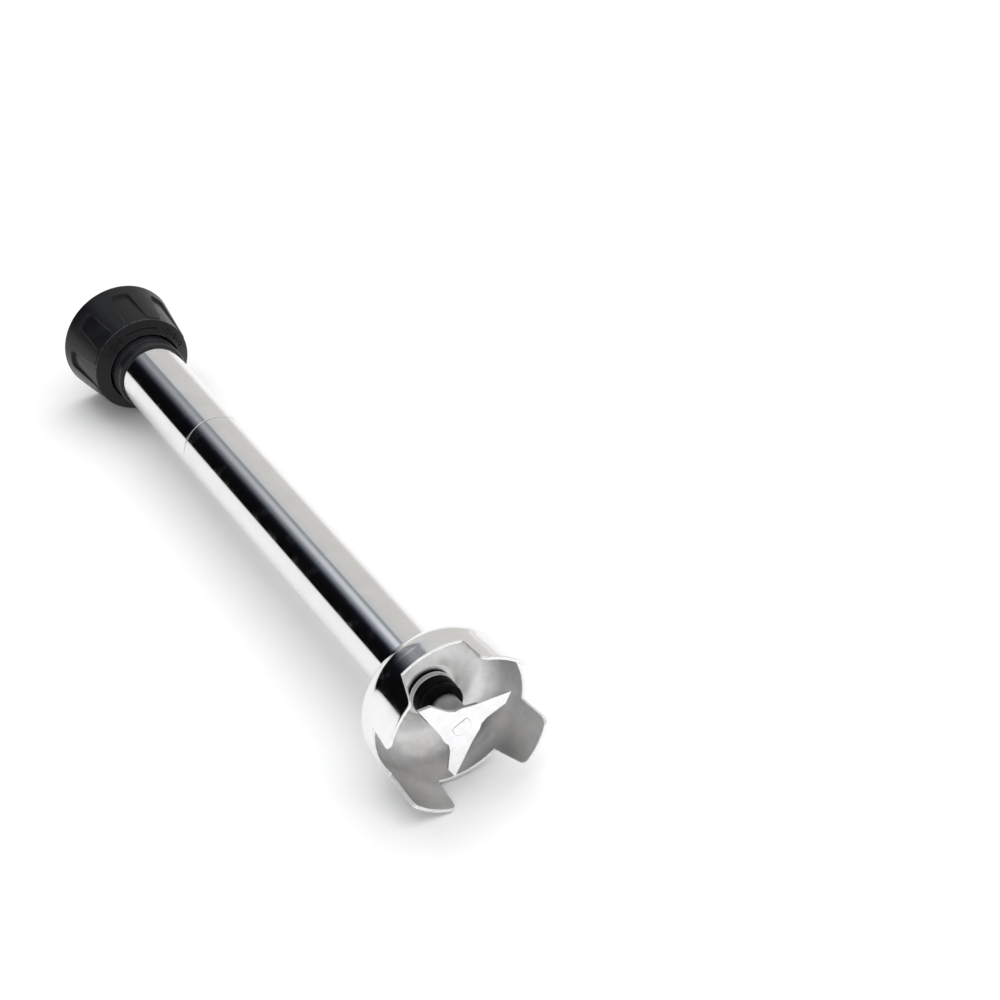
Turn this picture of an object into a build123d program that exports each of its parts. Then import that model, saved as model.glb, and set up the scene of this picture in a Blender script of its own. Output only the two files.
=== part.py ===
from build123d import *

import os
from math import cos, radians, sin, sqrt

# Detachable blending shaft of a commercial stick blender, lying along +X.
#
# The shaft's axis is the X axis, with the blades at the +X end and +Z up. The origin is on
# the axis, in the mouth of the socket that takes the motor unit's nose. Angles round the
# axis start at +Y and run towards +Z.

# Lengths along the axis, from the seat for the motor unit
COLLAR_MOUTH_X = -4.0
SOCKET_DEPTH = 14.0
FLANGE_X = (20.0, 26.0)
COLLAR_EDGE_X = 32.5
COLLAR_NOSE_X = 37.0
TUBE_START_X = 48.2
SEAM_X = 133.2
BELL_ROOF_X = 379.8
NOTCH_X = 406.5
BLADE_X = 418.8
LEG_TIP_X = 426.7

# Tube
TUBE_R = 19.0
TUBE_WALL = 1.2
TUBE_INNER_R = TUBE_R - TUBE_WALL
INSERT_R = TUBE_INNER_R - 0.1

# Gaps and overlaps that many pieces share
FIT_GAP = 0.05
SIDE_GAP = 0.1
JOIN = 0.3
CUT_OVERRUN = 0.01

# Collar and neck radii
COLLAR_LIP_R = 34.0
COLLAR_LIP_ROUND = 1.6
COLLAR_LAND_SLOPE = 0.132
COLLAR_EDGE_R = 28.8
COLLAR_HOLE_R = 21.7
COLLAR_HOLE_CHAMFER = 0.4
COLLAR_MOUTH_R = 28.2
COLLAR_BORE_R = 27.2
FLUTE_COUNT = 8
FLUTE_START_X = 4.5
FLUTE_START_R = 31.3
FLUTE_END_R = 29.0
FLUTE_HALF_WIDTH = (5.4, 7.6)
FLUTE_CORNER_R = 2.4
FLUTE_RUNOUT = 6.0
LAND_END_X = 30.8
NECK_R = 20.6
NECK_END_R = 19.4
SLEEVE_R = 22.0
SLEEVE_GROOVE_R = 20.8
FLANGE_R = 26.5
SOCKET_R = 19.0
WELL_R = 11.2

# Collar twist, from closed to open
TWIST_DEG = 40.0
STOP_HALF_DEG = 6.0
STOP_SLACK_DEG = 0.6
STOP_CENTRE_DEG = 250.0
STOP_R = 25.3
STOP_SIDE_GAP = 0.4

# Deep-groove ball bearing, 10 x 26 x 8
BEARING_BORE_R = 5.0
BEARING_OUTER_R = 13.0
BEARING_WIDTH = 8.0
BALL_R = 2.38
BALL_PITCH_R = 9.0
BALL_COUNT = 7
RACE_EDGE = (6.9, 11.1)
RACE_SEAT_GAP = 0.02
CAGE_R = (8.2, 9.8)
CAGE_WIDTH = 5.6
UPPER_BEARING_X = 50.0
LOWER_BEARING_X = 354.0

# Circlips beside the bearings
CIRCLIP_THICKNESS = 1.2
CIRCLIP_GROOVE = 1.4
CIRCLIP_GROOVE_R = 13.9
HOUSING_CLIP_R = (11.5, 13.8)
SHAFT_GROOVE_R = 4.5
SHAFT_CLIP_R = (4.55, 7.3)
HOUSING_CLIP_DEG = (105, 330)
SHAFT_CLIP_DEG = (-60, 300)

# Drive shaft, coupling and blade
SHAFT_R = 5.0
SHAFT_START_X = 27.0
SHAFT_FLAT = 3.0
SHAFT_FLAT_DEG = 116.6
SHAFT_END_X = BLADE_X + 0.3
SHAFT_SEAT_GAP = 0.02
COUPLING_R = 9.5
COUPLING_X = (15.5, 39.0)
COUPLING_HEX = 4.2
COUPLING_HEX_DEPTH = 10.0
COUPLING_PIN_X = 33.5
COUPLING_PIN_R = 1.5
COUPLING_PIN_LENGTH = 18.4
COUPLING_CHAMFER = 0.8
PIN_CHAMFER = 0.3
HUB_R = 7.8
HUB_START_X = 400.6
HUB_CHAMFER = 0.4
BLADE_THICKNESS = 2.0
BLADE_TIP_DEG = 21.4
BLADE_ARMS = 3

# Outline of one blade arm that points along its local X: from its root out to the tip and back
ARM_ROOT = (10.1, 7.5)
ARM_GRIND_END = (11.3, 7.0)
ARM_TIP = (29.9, 0)
ARM_TIP_CUT = (24.7, -4.5)
ARM_SIDE = (13.3, -4.9)
ARM_HOLLOW = (9.4, -6.2)
ARM_VALLEY = (7.3, -8.7)

# Bell
BELL_WALL = 1.9
BELL_SHOULDER_R = 18.1
BELL_SKIRT_X = 397.9
BELL_SKIRT_R = 42.0
BELL_NOTCH_R = 42.8
BELL_TIP_R = 45.2
LEG_COUNT = 4
LEG_CENTRE_DEG = 62.0
LEG_BASE_DEG = (-25.5, 17.4)
LEG_TIP_DEG = (-17.8, 17.6)
LEG_CORNER_R = 4.0

# Bearing housing, seal and boss at the blade end
HOUSING_X = (336.0, 385.4)
HOUSING_NOSE_R = 14.3
HOUSING_RIM_R = (20.6, 20.0)
HOUSING_RIM_LENGTH = (1.6, 2.6)
BOSS_R = 12.9
BOSS_END_R = 11.6

# Steady bearing half way along the shaft
STEADY_X = 236.0
STEADY_LENGTH = 22.0
STEADY_HOLES = 5
STEADY_HOLE_R = 3.2
STEADY_BUSH_R = 8.0

# Bayonet ring and its screws, in the collar's mouth
BAYONET_X = (-3.0, -0.5)
BAYONET_R = 31.2
BAYONET_LUGS = 3
LUG_R = 26.2
LUG_CENTRE_DEG = 30.0
LUG_HALF_DEG = 12.0
SCREW_PITCH_R = 29.6
SCREW_R = 1.0
SCREW_HEAD_R = 1.4
SCREW_HEAD_DEPTH = 1.0
SCREW_DEPTH = 7.0
SCREW_SLOT_WIDTH = 0.5
SCREW_SLOT_DEPTH = 0.6

# Inside of the collar
SNAP_RING_X = (17.9, 19.5)
SNAP_RING_R = 25.0
SNAP_GROOVE_R = 28.2
SNAP_GAP_DEG = 8.0
COLLAR_STEP_X = 15.5
COLLAR_WALL_X = 27.6

# Neck housing
SLEEVE_GROOVE_X = (5.0, 7.4)
SLEEVE_RING_R = 1.0
WASHER_THICKNESS = 1.2
NECK_ROUND_X = 44.5
NECK_ROUND_MIDDLE = (47.1, 20.25)
SPIGOT_END_X = 62.0

# Seam, weld and small inner pieces
SEAM_HALF_GAP = 0.25
SEAM_CHAMFER = 0.3
SEAM_RECESS = 0.35
SEAM_SLEEVE_HALF = 15.0
SEAM_SLEEVE_WALL = 1.6
WELD_LEG = 2.2
SEAL_X = 365.0
SEAL_WIDTH = 7.0
SEAL_WALL = 1.4
SEAL_BACK = 2.0
SEAL_CASE_R = 11.4
SEAL_FACE_R = 7.4
SEAL_LIP_X = (3.6, 4.4)
SEAL_LIP_R = (6.6, 6.4)
GARTER_R = 7.5
GARTER_WIRE_R = 0.5
BOSS_X = (374.0, 400.3)
BOSS_GROOVE_X = (380.0, 382.2)
BOSS_GROOVE_DEPTH = 1.5
BOSS_STEP_X = (385.4, 385.8)
BOSS_NECK_R = 11.2
BAND_X = (386.9, 389.9)
BAND_R = 11.85
BOSS_ROUND = (4.0, 1.2, 3.4)
BOSS_RING_R = 0.72


def band(x_start, x_end, r_in, r_out):
    """Add a rectangle to the active sketch, between two places and two radii."""
    Polygon((x_start, r_in), (x_end, r_in), (x_end, r_out), (x_start, r_out), align=None)


def sector(r_in, r_out, start_deg, span_deg):
    """Add part of a ring to the active sketch, between two radii and two angles."""
    with BuildLine() as outline:
        inner = CenterArc((0, 0), r_in, start_deg, span_deg)
        outer = CenterArc((0, 0), r_out, start_deg, span_deg)
        Line(inner @ 0, outer @ 0)
        Line(inner @ 1, outer @ 1)
    make_face(outline.edges())


def radial_plane(degrees, x=0.0, radius=0.0):
    """Plane whose normal points away from the axis at an angle, with local X along the axis."""
    outward = (0, cos(radians(degrees)), sin(radians(degrees)))
    origin = (x, radius * outward[1], radius * outward[2])
    return Plane(origin=origin, x_dir=(1, 0, 0), z_dir=outward)


def axis_plane(x, degrees=0.0):
    """Plane across the axis at x, its local X turned to an angle round the axis."""
    across = (0, cos(radians(degrees)), sin(radians(degrees)))
    return Plane(origin=(x, 0, 0), x_dir=across, z_dir=(1, 0, 0))


def land_radius(x):
    """Radius of the collar's raised lands at a place along the axis."""
    return COLLAR_LIP_R - COLLAR_LAND_SLOPE * (x - COLLAR_MOUTH_X - COLLAR_LIP_ROUND)


def flute_floor(x):
    """Radius of the floor of the collar's flutes at a place along the axis."""
    slope = (FLUTE_START_R - FLUTE_END_R) / (LAND_END_X - FLUTE_START_X)
    return FLUTE_START_R - slope * (x - FLUTE_START_X)


def save(piece, name):
    """Label a finished piece and write it to its own STEP file."""
    piece.part.label = name
    export_step(piece.part, f"parts/{name}.step")


os.makedirs("parts", exist_ok=True)

# ---------------------------------------------------------------- locking collar

# Space taken out of the collar's side by one flute, down to a cone
floor_start_x = FLUTE_START_X - FLUTE_RUNOUT
floor_end_x = LAND_END_X + 2 * FLUTE_RUNOUT
with BuildPart() as flute:
    with BuildSketch(radial_plane(0.0)) as flute_outline:
        with BuildLine():
            Polyline(
                (FLUTE_START_X, -FLUTE_HALF_WIDTH[0]),
                (FLUTE_START_X, FLUTE_HALF_WIDTH[0]),
                (LAND_END_X + FLUTE_RUNOUT, FLUTE_HALF_WIDTH[1]),
                (LAND_END_X + FLUTE_RUNOUT, -FLUTE_HALF_WIDTH[1]),
                close=True,
            )
        make_face()
        fillet(flute_outline.vertices().group_by(Axis.X)[0], FLUTE_CORNER_R)
    extrude(amount=COLLAR_LIP_R + FLUTE_RUNOUT)
    with BuildSketch(Plane.XY):
        with BuildLine():
            Polyline(
                (floor_start_x, 0),
                (floor_end_x, 0),
                (floor_end_x, flute_floor(floor_end_x)),
                (floor_start_x, flute_floor(floor_start_x)),
                close=True,
            )
        make_face()
    revolve(axis=Axis.X, mode=Mode.SUBTRACT)

# Bayonet collar: raised lands and flutes outside, a stop lug and a ring groove inside
lip_end_x = COLLAR_MOUTH_X + 2 * COLLAR_LIP_ROUND
with BuildPart() as collar:
    with BuildSketch(Plane.XY) as collar_profile:
        with BuildLine():
            Polyline(
                (COLLAR_MOUTH_X, BAYONET_R + FIT_GAP),
                (COLLAR_MOUTH_X, COLLAR_LIP_R),
                (lip_end_x, land_radius(lip_end_x)),
                (LAND_END_X, land_radius(LAND_END_X)),
                (LAND_END_X, FLUTE_END_R),
                (COLLAR_EDGE_X, COLLAR_EDGE_R),
                (COLLAR_NOSE_X, COLLAR_HOLE_R + COLLAR_HOLE_CHAMFER),
                (COLLAR_NOSE_X - COLLAR_HOLE_CHAMFER, COLLAR_HOLE_R),
                (COLLAR_WALL_X, COLLAR_HOLE_R),
                (COLLAR_WALL_X, COLLAR_BORE_R),
                (SNAP_RING_X[1], COLLAR_BORE_R),
                (SNAP_RING_X[1], SNAP_GROOVE_R),
                (SNAP_RING_X[0], SNAP_GROOVE_R),
                (SNAP_RING_X[0], COLLAR_BORE_R),
                (COLLAR_STEP_X, COLLAR_BORE_R),
                (COLLAR_STEP_X, COLLAR_MOUTH_R),
                (BAYONET_X[1], COLLAR_MOUTH_R),
                (BAYONET_X[1], BAYONET_R + FIT_GAP),
                close=True,
            )
        make_face()
        fillet(collar_profile.vertices().group_by(Axis.Y)[-1], COLLAR_LIP_ROUND)
    revolve(axis=Axis.X)
    for index in range(FLUTE_COUNT):
        add(flute.part.rotate(Axis.X, index * 360 / FLUTE_COUNT), mode=Mode.SUBTRACT)
    with BuildSketch(axis_plane(FLANGE_X[0] + STOP_SIDE_GAP)):
        sector(STOP_R, COLLAR_BORE_R + JOIN, STOP_CENTRE_DEG - STOP_HALF_DEG, 2 * STOP_HALF_DEG)
    extrude(amount=FLANGE_X[1] - FLANGE_X[0] - 2 * STOP_SIDE_GAP)
    with BuildSketch(axis_plane(BAYONET_X[1])):
        with PolarLocations(SCREW_PITCH_R, BAYONET_LUGS, start_angle=LUG_CENTRE_DEG):
            Circle(SCREW_R)
    extrude(amount=SCREW_DEPTH, mode=Mode.SUBTRACT)
save(collar, "collar")

# Steel ring in the collar's mouth, whose inward lugs draw the motor unit down
with BuildPart() as bayonet_ring:
    with BuildSketch(axis_plane(BAYONET_X[0])):
        Circle(BAYONET_R)
        Circle(COLLAR_MOUTH_R, mode=Mode.SUBTRACT)
        for index in range(BAYONET_LUGS):
            start_deg = LUG_CENTRE_DEG + index * 360 / BAYONET_LUGS - LUG_HALF_DEG
            sector(LUG_R, COLLAR_MOUTH_R + JOIN, start_deg, 2 * LUG_HALF_DEG)
    extrude(amount=BAYONET_X[1] - BAYONET_X[0])
    with BuildSketch(axis_plane(BAYONET_X[0])):
        with PolarLocations(SCREW_PITCH_R, BAYONET_LUGS, start_angle=LUG_CENTRE_DEG):
            Circle(SCREW_R + SIDE_GAP)
    extrude(amount=BAYONET_X[1] - BAYONET_X[0], mode=Mode.SUBTRACT)
    with BuildSketch(axis_plane(BAYONET_X[0])):
        with PolarLocations(SCREW_PITCH_R, BAYONET_LUGS, start_angle=LUG_CENTRE_DEG):
            Circle(SCREW_HEAD_R + SIDE_GAP)
    extrude(amount=SCREW_HEAD_DEPTH + SIDE_GAP, mode=Mode.SUBTRACT)
save(bayonet_ring, "bayonet_ring")

# Cheese-head screws that hold the bayonet ring, one through each lug
with BuildPart() as bayonet_screws:
    with BuildSketch(axis_plane(BAYONET_X[0])):
        with PolarLocations(SCREW_PITCH_R, BAYONET_LUGS, start_angle=LUG_CENTRE_DEG):
            Circle(SCREW_HEAD_R)
    extrude(amount=SCREW_HEAD_DEPTH)
    with BuildSketch(axis_plane(BAYONET_X[0])):
        with PolarLocations(SCREW_PITCH_R, BAYONET_LUGS, start_angle=LUG_CENTRE_DEG):
            Circle(SCREW_R - FIT_GAP)
    extrude(amount=BAYONET_X[1] - BAYONET_X[0] + SCREW_DEPTH - JOIN)
    with BuildSketch(axis_plane(BAYONET_X[0])):
        with PolarLocations(SCREW_PITCH_R, BAYONET_LUGS, start_angle=LUG_CENTRE_DEG):
            Rectangle(2 * SCREW_HEAD_R, SCREW_SLOT_WIDTH)
    extrude(amount=SCREW_SLOT_DEPTH, mode=Mode.SUBTRACT)
save(bayonet_screws, "bayonet_screws")

# Internal snap ring that keeps the collar behind the neck's flange
with BuildPart() as collar_snap_ring:
    with BuildSketch(axis_plane(SNAP_RING_X[0] + SIDE_GAP)):
        sector(SNAP_RING_R, SNAP_GROOVE_R - SIDE_GAP, SNAP_GAP_DEG, 360 - 2 * SNAP_GAP_DEG)
    extrude(amount=SNAP_RING_X[1] - SNAP_RING_X[0] - 2 * SIDE_GAP)
save(collar_snap_ring, "collar_snap_ring")

# ---------------------------------------------------------------- neck housing

upper_clip_x = UPPER_BEARING_X + BEARING_WIDTH

# Moulded housing: motor socket, flange with a stop recess, neck, and spigot in the tube
with BuildPart() as neck_housing:
    with BuildSketch(Plane.XY):
        with BuildLine():
            Polyline(
                (0, SOCKET_R),
                (0, SLEEVE_R),
                (SLEEVE_GROOVE_X[0], SLEEVE_R),
                (SLEEVE_GROOVE_X[0], SLEEVE_GROOVE_R),
                (SLEEVE_GROOVE_X[1], SLEEVE_GROOVE_R),
                (SLEEVE_GROOVE_X[1], SLEEVE_R),
                (FLANGE_X[0], SLEEVE_R),
                (FLANGE_X[0], FLANGE_R),
                (FLANGE_X[1], FLANGE_R),
                (FLANGE_X[1], NECK_R),
                (NECK_ROUND_X, NECK_R),
            )
            ThreePointArc((NECK_ROUND_X, NECK_R), NECK_ROUND_MIDDLE, (TUBE_START_X, NECK_END_R))
            Polyline(
                (TUBE_START_X, NECK_END_R),
                (TUBE_START_X, INSERT_R),
                (SPIGOT_END_X, INSERT_R),
                (SPIGOT_END_X, BEARING_OUTER_R),
                (upper_clip_x + CIRCLIP_GROOVE, BEARING_OUTER_R),
                (upper_clip_x + CIRCLIP_GROOVE, CIRCLIP_GROOVE_R),
                (upper_clip_x, CIRCLIP_GROOVE_R),
                (upper_clip_x, BEARING_OUTER_R),
                (UPPER_BEARING_X, BEARING_OUTER_R),
                (UPPER_BEARING_X, WELL_R),
                (SOCKET_DEPTH, WELL_R),
                (SOCKET_DEPTH, SOCKET_R),
                (0, SOCKET_R),
            )
        make_face()
    revolve(axis=Axis.X)
    with BuildSketch(axis_plane(FLANGE_X[0])):
        sector(
            STOP_R - JOIN,
            FLANGE_R + JOIN,
            STOP_CENTRE_DEG - STOP_HALF_DEG - STOP_SLACK_DEG,
            TWIST_DEG + 2 * (STOP_HALF_DEG + STOP_SLACK_DEG),
        )
    extrude(amount=FLANGE_X[1] - FLANGE_X[0], mode=Mode.SUBTRACT)
save(neck_housing, "neck_housing")

# O-ring on the sleeve, against the motor unit's skirt
with BuildPart() as neck_o_ring:
    with BuildSketch(Plane.XY):
        with Locations((sum(SLEEVE_GROOVE_X) / 2, SLEEVE_GROOVE_R + SLEEVE_RING_R + SIDE_GAP)):
            Circle(SLEEVE_RING_R)
    revolve(axis=Axis.X)
save(neck_o_ring, "neck_o_ring")

# Thin washer that gives the collar its drag against the flange
with BuildPart() as friction_washer:
    with BuildSketch(Plane.XY):
        start_x = FLANGE_X[1] + FIT_GAP
        band(start_x, start_x + WASHER_THICKNESS, NECK_R + 2 * SIDE_GAP, FLANGE_R - JOIN)
    revolve(axis=Axis.X)
save(friction_washer, "friction_washer")

# ---------------------------------------------------------------- ball bearings


def outer_race(x):
    """Outer ring of a ball bearing that starts at x."""
    with BuildPart() as race:
        with BuildSketch(Plane.XY):
            band(x, x + BEARING_WIDTH, RACE_EDGE[1], BEARING_OUTER_R - RACE_SEAT_GAP)
            with Locations((x + BEARING_WIDTH / 2, BALL_PITCH_R)):
                Circle(BALL_R + FIT_GAP, mode=Mode.SUBTRACT)
        revolve(axis=Axis.X)
    return race


def inner_race(x):
    """Inner ring of a ball bearing that starts at x."""
    with BuildPart() as race:
        with BuildSketch(Plane.XY):
            band(x, x + BEARING_WIDTH, BEARING_BORE_R, RACE_EDGE[0])
            with Locations((x + BEARING_WIDTH / 2, BALL_PITCH_R)):
                Circle(BALL_R + FIT_GAP, mode=Mode.SUBTRACT)
        revolve(axis=Axis.X)
    return race


def ball_set(x):
    """All the balls of a ball bearing that starts at x."""
    with BuildPart() as balls:
        with Locations(axis_plane(x + BEARING_WIDTH / 2)):
            with PolarLocations(BALL_PITCH_R, BALL_COUNT):
                Sphere(BALL_R)
    return balls


def ball_cage(x):
    """Ring with a pocket for each ball of a bearing that starts at x."""
    with BuildPart() as cage:
        with BuildSketch(Plane.XY):
            middle = x + BEARING_WIDTH / 2
            band(middle - CAGE_WIDTH / 2, middle + CAGE_WIDTH / 2, *CAGE_R)
        revolve(axis=Axis.X)
        for index in range(BALL_COUNT):
            with BuildSketch(radial_plane(index * 360 / BALL_COUNT, middle)):
                Circle(BALL_R + FIT_GAP)
            extrude(amount=BEARING_OUTER_R, mode=Mode.SUBTRACT)
    return cage


def housing_circlip(x):
    """Internal circlip just past a bearing that starts at x."""
    with BuildPart() as clip:
        with BuildSketch(axis_plane(x + BEARING_WIDTH + SIDE_GAP)):
            sector(*HOUSING_CLIP_R, *HOUSING_CLIP_DEG)
        extrude(amount=CIRCLIP_THICKNESS)
    return clip


def shaft_circlips(x):
    """External circlips on the shaft, one each side of a bearing that starts at x."""
    with BuildPart() as clips:
        for clip_x in (x - SIDE_GAP - CIRCLIP_THICKNESS, x + BEARING_WIDTH + SIDE_GAP):
            with BuildSketch(axis_plane(clip_x)):
                sector(*SHAFT_CLIP_R, *SHAFT_CLIP_DEG)
            extrude(amount=CIRCLIP_THICKNESS)
    return clips


for end, bearing_x in (("upper", UPPER_BEARING_X), ("lower", LOWER_BEARING_X)):
    save(outer_race(bearing_x), f"{end}_bearing_outer")
    save(inner_race(bearing_x), f"{end}_bearing_inner")
    save(ball_set(bearing_x), f"{end}_bearing_balls")
    save(ball_cage(bearing_x), f"{end}_bearing_cage")
    save(housing_circlip(bearing_x), f"{end}_housing_circlip")
    save(shaft_circlips(bearing_x), f"{end}_shaft_circlips")

# ---------------------------------------------------------------- tubes

# Upper tube, from the neck to the seam
with BuildPart() as upper_tube:
    with BuildSketch(Plane.XY):
        band(TUBE_START_X + FIT_GAP, SEAM_X - SEAM_HALF_GAP, TUBE_INNER_R, TUBE_R)
    revolve(axis=Axis.X)
    seam_edges = upper_tube.edges().filter_by(GeomType.CIRCLE).group_by(Axis.X)[-1]
    chamfer(seam_edges.sort_by(SortBy.RADIUS)[-1], SEAM_CHAMFER)
save(upper_tube, "upper_tube")

# Sleeve inside both tubes, where they meet
with BuildPart() as joint_sleeve:
    with BuildSketch(Plane.XY):
        sleeve_x = (SEAM_X - SEAM_SLEEVE_HALF, SEAM_X + SEAM_SLEEVE_HALF)
        band(*sleeve_x, INSERT_R - SEAM_SLEEVE_WALL, INSERT_R)
    revolve(axis=Axis.X)
save(joint_sleeve, "joint_sleeve")

# Gasket squeezed in the seam
with BuildPart() as seam_gasket:
    with BuildSketch(Plane.XY):
        band(SEAM_X - SEAM_HALF_GAP, SEAM_X + SEAM_HALF_GAP, TUBE_INNER_R, TUBE_R - SEAM_RECESS)
    revolve(axis=Axis.X)
save(seam_gasket, "seam_gasket")

# Lower tube, from the seam into the bell's roof
with BuildPart() as lower_tube:
    with BuildSketch(Plane.XY):
        band(SEAM_X + SEAM_HALF_GAP, BELL_ROOF_X + BELL_WALL, TUBE_INNER_R, TUBE_R)
    revolve(axis=Axis.X)
    seam_edges = lower_tube.edges().filter_by(GeomType.CIRCLE).group_by(Axis.X)[0]
    chamfer(seam_edges.sort_by(SortBy.RADIUS)[-1], SEAM_CHAMFER)
save(lower_tube, "lower_tube")

# Carrier that centres the steady bush in the lower tube, with through holes for lightness
with BuildPart() as steady_carrier:
    with BuildSketch(axis_plane(STEADY_X - STEADY_LENGTH / 2)):
        Circle(INSERT_R)
        Circle(STEADY_BUSH_R + FIT_GAP, mode=Mode.SUBTRACT)
        with PolarLocations((STEADY_BUSH_R + INSERT_R) / 2, STEADY_HOLES):
            Circle(STEADY_HOLE_R, mode=Mode.SUBTRACT)
    extrude(amount=STEADY_LENGTH)
save(steady_carrier, "steady_carrier")

# Plain bush that steadies the long shaft
with BuildPart() as steady_bush:
    with BuildSketch(Plane.XY):
        bush_x = (STEADY_X - STEADY_LENGTH / 2, STEADY_X + STEADY_LENGTH / 2)
        band(*bush_x, SHAFT_R + FIT_GAP, STEADY_BUSH_R)
    revolve(axis=Axis.X)
save(steady_bush, "steady_bush")

# ---------------------------------------------------------------- bell and lower housing

# Bell: flat roof, large round shoulder, flaring skirt with four legs
with BuildPart() as bell:
    with BuildSketch(Plane.XY):
        with BuildLine():
            shoulder_start = BELL_SKIRT_R - BELL_SHOULDER_R
            diagonal = sqrt(0.5)
            Polyline(
                (BELL_ROOF_X + BELL_WALL, TUBE_R + FIT_GAP),
                (BELL_ROOF_X - WELD_LEG, TUBE_R + FIT_GAP),
                (BELL_ROOF_X, TUBE_R + WELD_LEG),
                (BELL_ROOF_X, shoulder_start),
            )
            ThreePointArc(
                (BELL_ROOF_X, shoulder_start),
                (BELL_SKIRT_X - diagonal * BELL_SHOULDER_R, shoulder_start + diagonal * BELL_SHOULDER_R),
                (BELL_SKIRT_X, BELL_SKIRT_R),
            )
            Polyline(
                (BELL_SKIRT_X, BELL_SKIRT_R),
                (NOTCH_X, BELL_NOTCH_R),
                (LEG_TIP_X, BELL_TIP_R),
                (LEG_TIP_X, BELL_TIP_R - BELL_WALL),
                (NOTCH_X, BELL_NOTCH_R - BELL_WALL),
                (BELL_SKIRT_X, BELL_SKIRT_R - BELL_WALL),
            )
            inside_r = BELL_SHOULDER_R - BELL_WALL
            ThreePointArc(
                (BELL_SKIRT_X, BELL_SKIRT_R - BELL_WALL),
                (BELL_SKIRT_X - diagonal * inside_r, shoulder_start + diagonal * inside_r),
                (BELL_ROOF_X + BELL_WALL, shoulder_start),
            )
            Line(
                (BELL_ROOF_X + BELL_WALL, shoulder_start),
                (BELL_ROOF_X + BELL_WALL, TUBE_R + FIT_GAP),
            )
        make_face()
    revolve(axis=Axis.X)
    notch_deg = (LEG_CENTRE_DEG + LEG_BASE_DEG[1], LEG_CENTRE_DEG + 90 + LEG_BASE_DEG[0])
    mouth_deg = (LEG_CENTRE_DEG + LEG_TIP_DEG[1], LEG_CENTRE_DEG + 90 + LEG_TIP_DEG[0])
    middle_deg = sum(notch_deg) / 2
    notch_y = [-BELL_NOTCH_R * sin(radians(edge - middle_deg)) for edge in notch_deg]
    mouth_y = [-BELL_TIP_R * sin(radians(edge - middle_deg)) for edge in mouth_deg]
    for index in range(LEG_COUNT):
        with BuildSketch(radial_plane(middle_deg + index * 360 / LEG_COUNT, 0, BELL_NOTCH_R / 2)):
            with BuildLine():
                Polyline(
                    (NOTCH_X, notch_y[0]),
                    (LEG_TIP_X + CUT_OVERRUN, mouth_y[0]),
                    (LEG_TIP_X + LEG_CORNER_R, mouth_y[0]),
                    (LEG_TIP_X + LEG_CORNER_R, mouth_y[1]),
                    (LEG_TIP_X + CUT_OVERRUN, mouth_y[1]),
                    (NOTCH_X, notch_y[1]),
                    close=True,
                )
            make_face()
        extrude(amount=BELL_TIP_R, mode=Mode.SUBTRACT)
    tip_corners = bell.edges().filter_by(
        lambda edge: edge.center().X > LEG_TIP_X - CUT_OVERRUN and edge.length < 2 * BELL_WALL
    )
    fillet(tip_corners, LEG_CORNER_R)
save(bell, "bell")

lower_clip_x = LOWER_BEARING_X + BEARING_WIDTH
rim_x = BELL_ROOF_X + BELL_WALL + FIT_GAP

# Steel housing in the tube's end: bearing seat, seal bore and a nose inside the bell
with BuildPart() as bearing_housing:
    with BuildSketch(Plane.XY):
        with BuildLine():
            Polyline(
                (HOUSING_X[0], WELL_R),
                (HOUSING_X[0], INSERT_R),
                (rim_x, INSERT_R),
                (rim_x, HOUSING_RIM_R[0]),
                (rim_x + HOUSING_RIM_LENGTH[0], HOUSING_RIM_R[1]),
                (rim_x + HOUSING_RIM_LENGTH[1], HOUSING_NOSE_R),
                (HOUSING_X[1], HOUSING_NOSE_R),
                (HOUSING_X[1], BEARING_OUTER_R),
                (lower_clip_x + CIRCLIP_GROOVE, BEARING_OUTER_R),
                (lower_clip_x + CIRCLIP_GROOVE, CIRCLIP_GROOVE_R),
                (lower_clip_x, CIRCLIP_GROOVE_R),
                (lower_clip_x, BEARING_OUTER_R),
                (LOWER_BEARING_X, BEARING_OUTER_R),
                (LOWER_BEARING_X, WELL_R),
                close=True,
            )
        make_face()
    revolve(axis=Axis.X)
save(bearing_housing, "bearing_housing")

# Rubber lip seal, its lip leaning on the shaft
with BuildPart() as lip_seal:
    with BuildSketch(Plane.XY):
        with BuildLine():
            Polyline(
                (SEAL_X, BEARING_OUTER_R - FIT_GAP),
                (SEAL_X + SEAL_WIDTH, BEARING_OUTER_R - FIT_GAP),
                (SEAL_X + SEAL_WIDTH, SEAL_FACE_R),
                (SEAL_X + SEAL_WIDTH - SEAL_WALL, SEAL_FACE_R),
                (SEAL_X + SEAL_WIDTH - SEAL_WALL, SEAL_CASE_R),
                (SEAL_X + SEAL_BACK, SEAL_CASE_R),
                (SEAL_X + SEAL_BACK, SEAL_FACE_R),
                (SEAL_X + SEAL_LIP_X[1], SEAL_LIP_R[1]),
                (SEAL_X + SEAL_LIP_X[1], SHAFT_R + FIT_GAP),
                (SEAL_X + SEAL_LIP_X[0], SHAFT_R + FIT_GAP),
                (SEAL_X, SEAL_LIP_R[0]),
                close=True,
            )
        make_face()
    revolve(axis=Axis.X)
save(lip_seal, "lip_seal")

# Garter spring that squeezes the seal's lip
with BuildPart() as garter_spring:
    with BuildSketch(Plane.XY):
        with Locations((SEAL_X + SEAL_LIP_X[0], GARTER_R)):
            Circle(GARTER_WIRE_R)
    revolve(axis=Axis.X)
save(garter_spring, "garter_spring")

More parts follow.
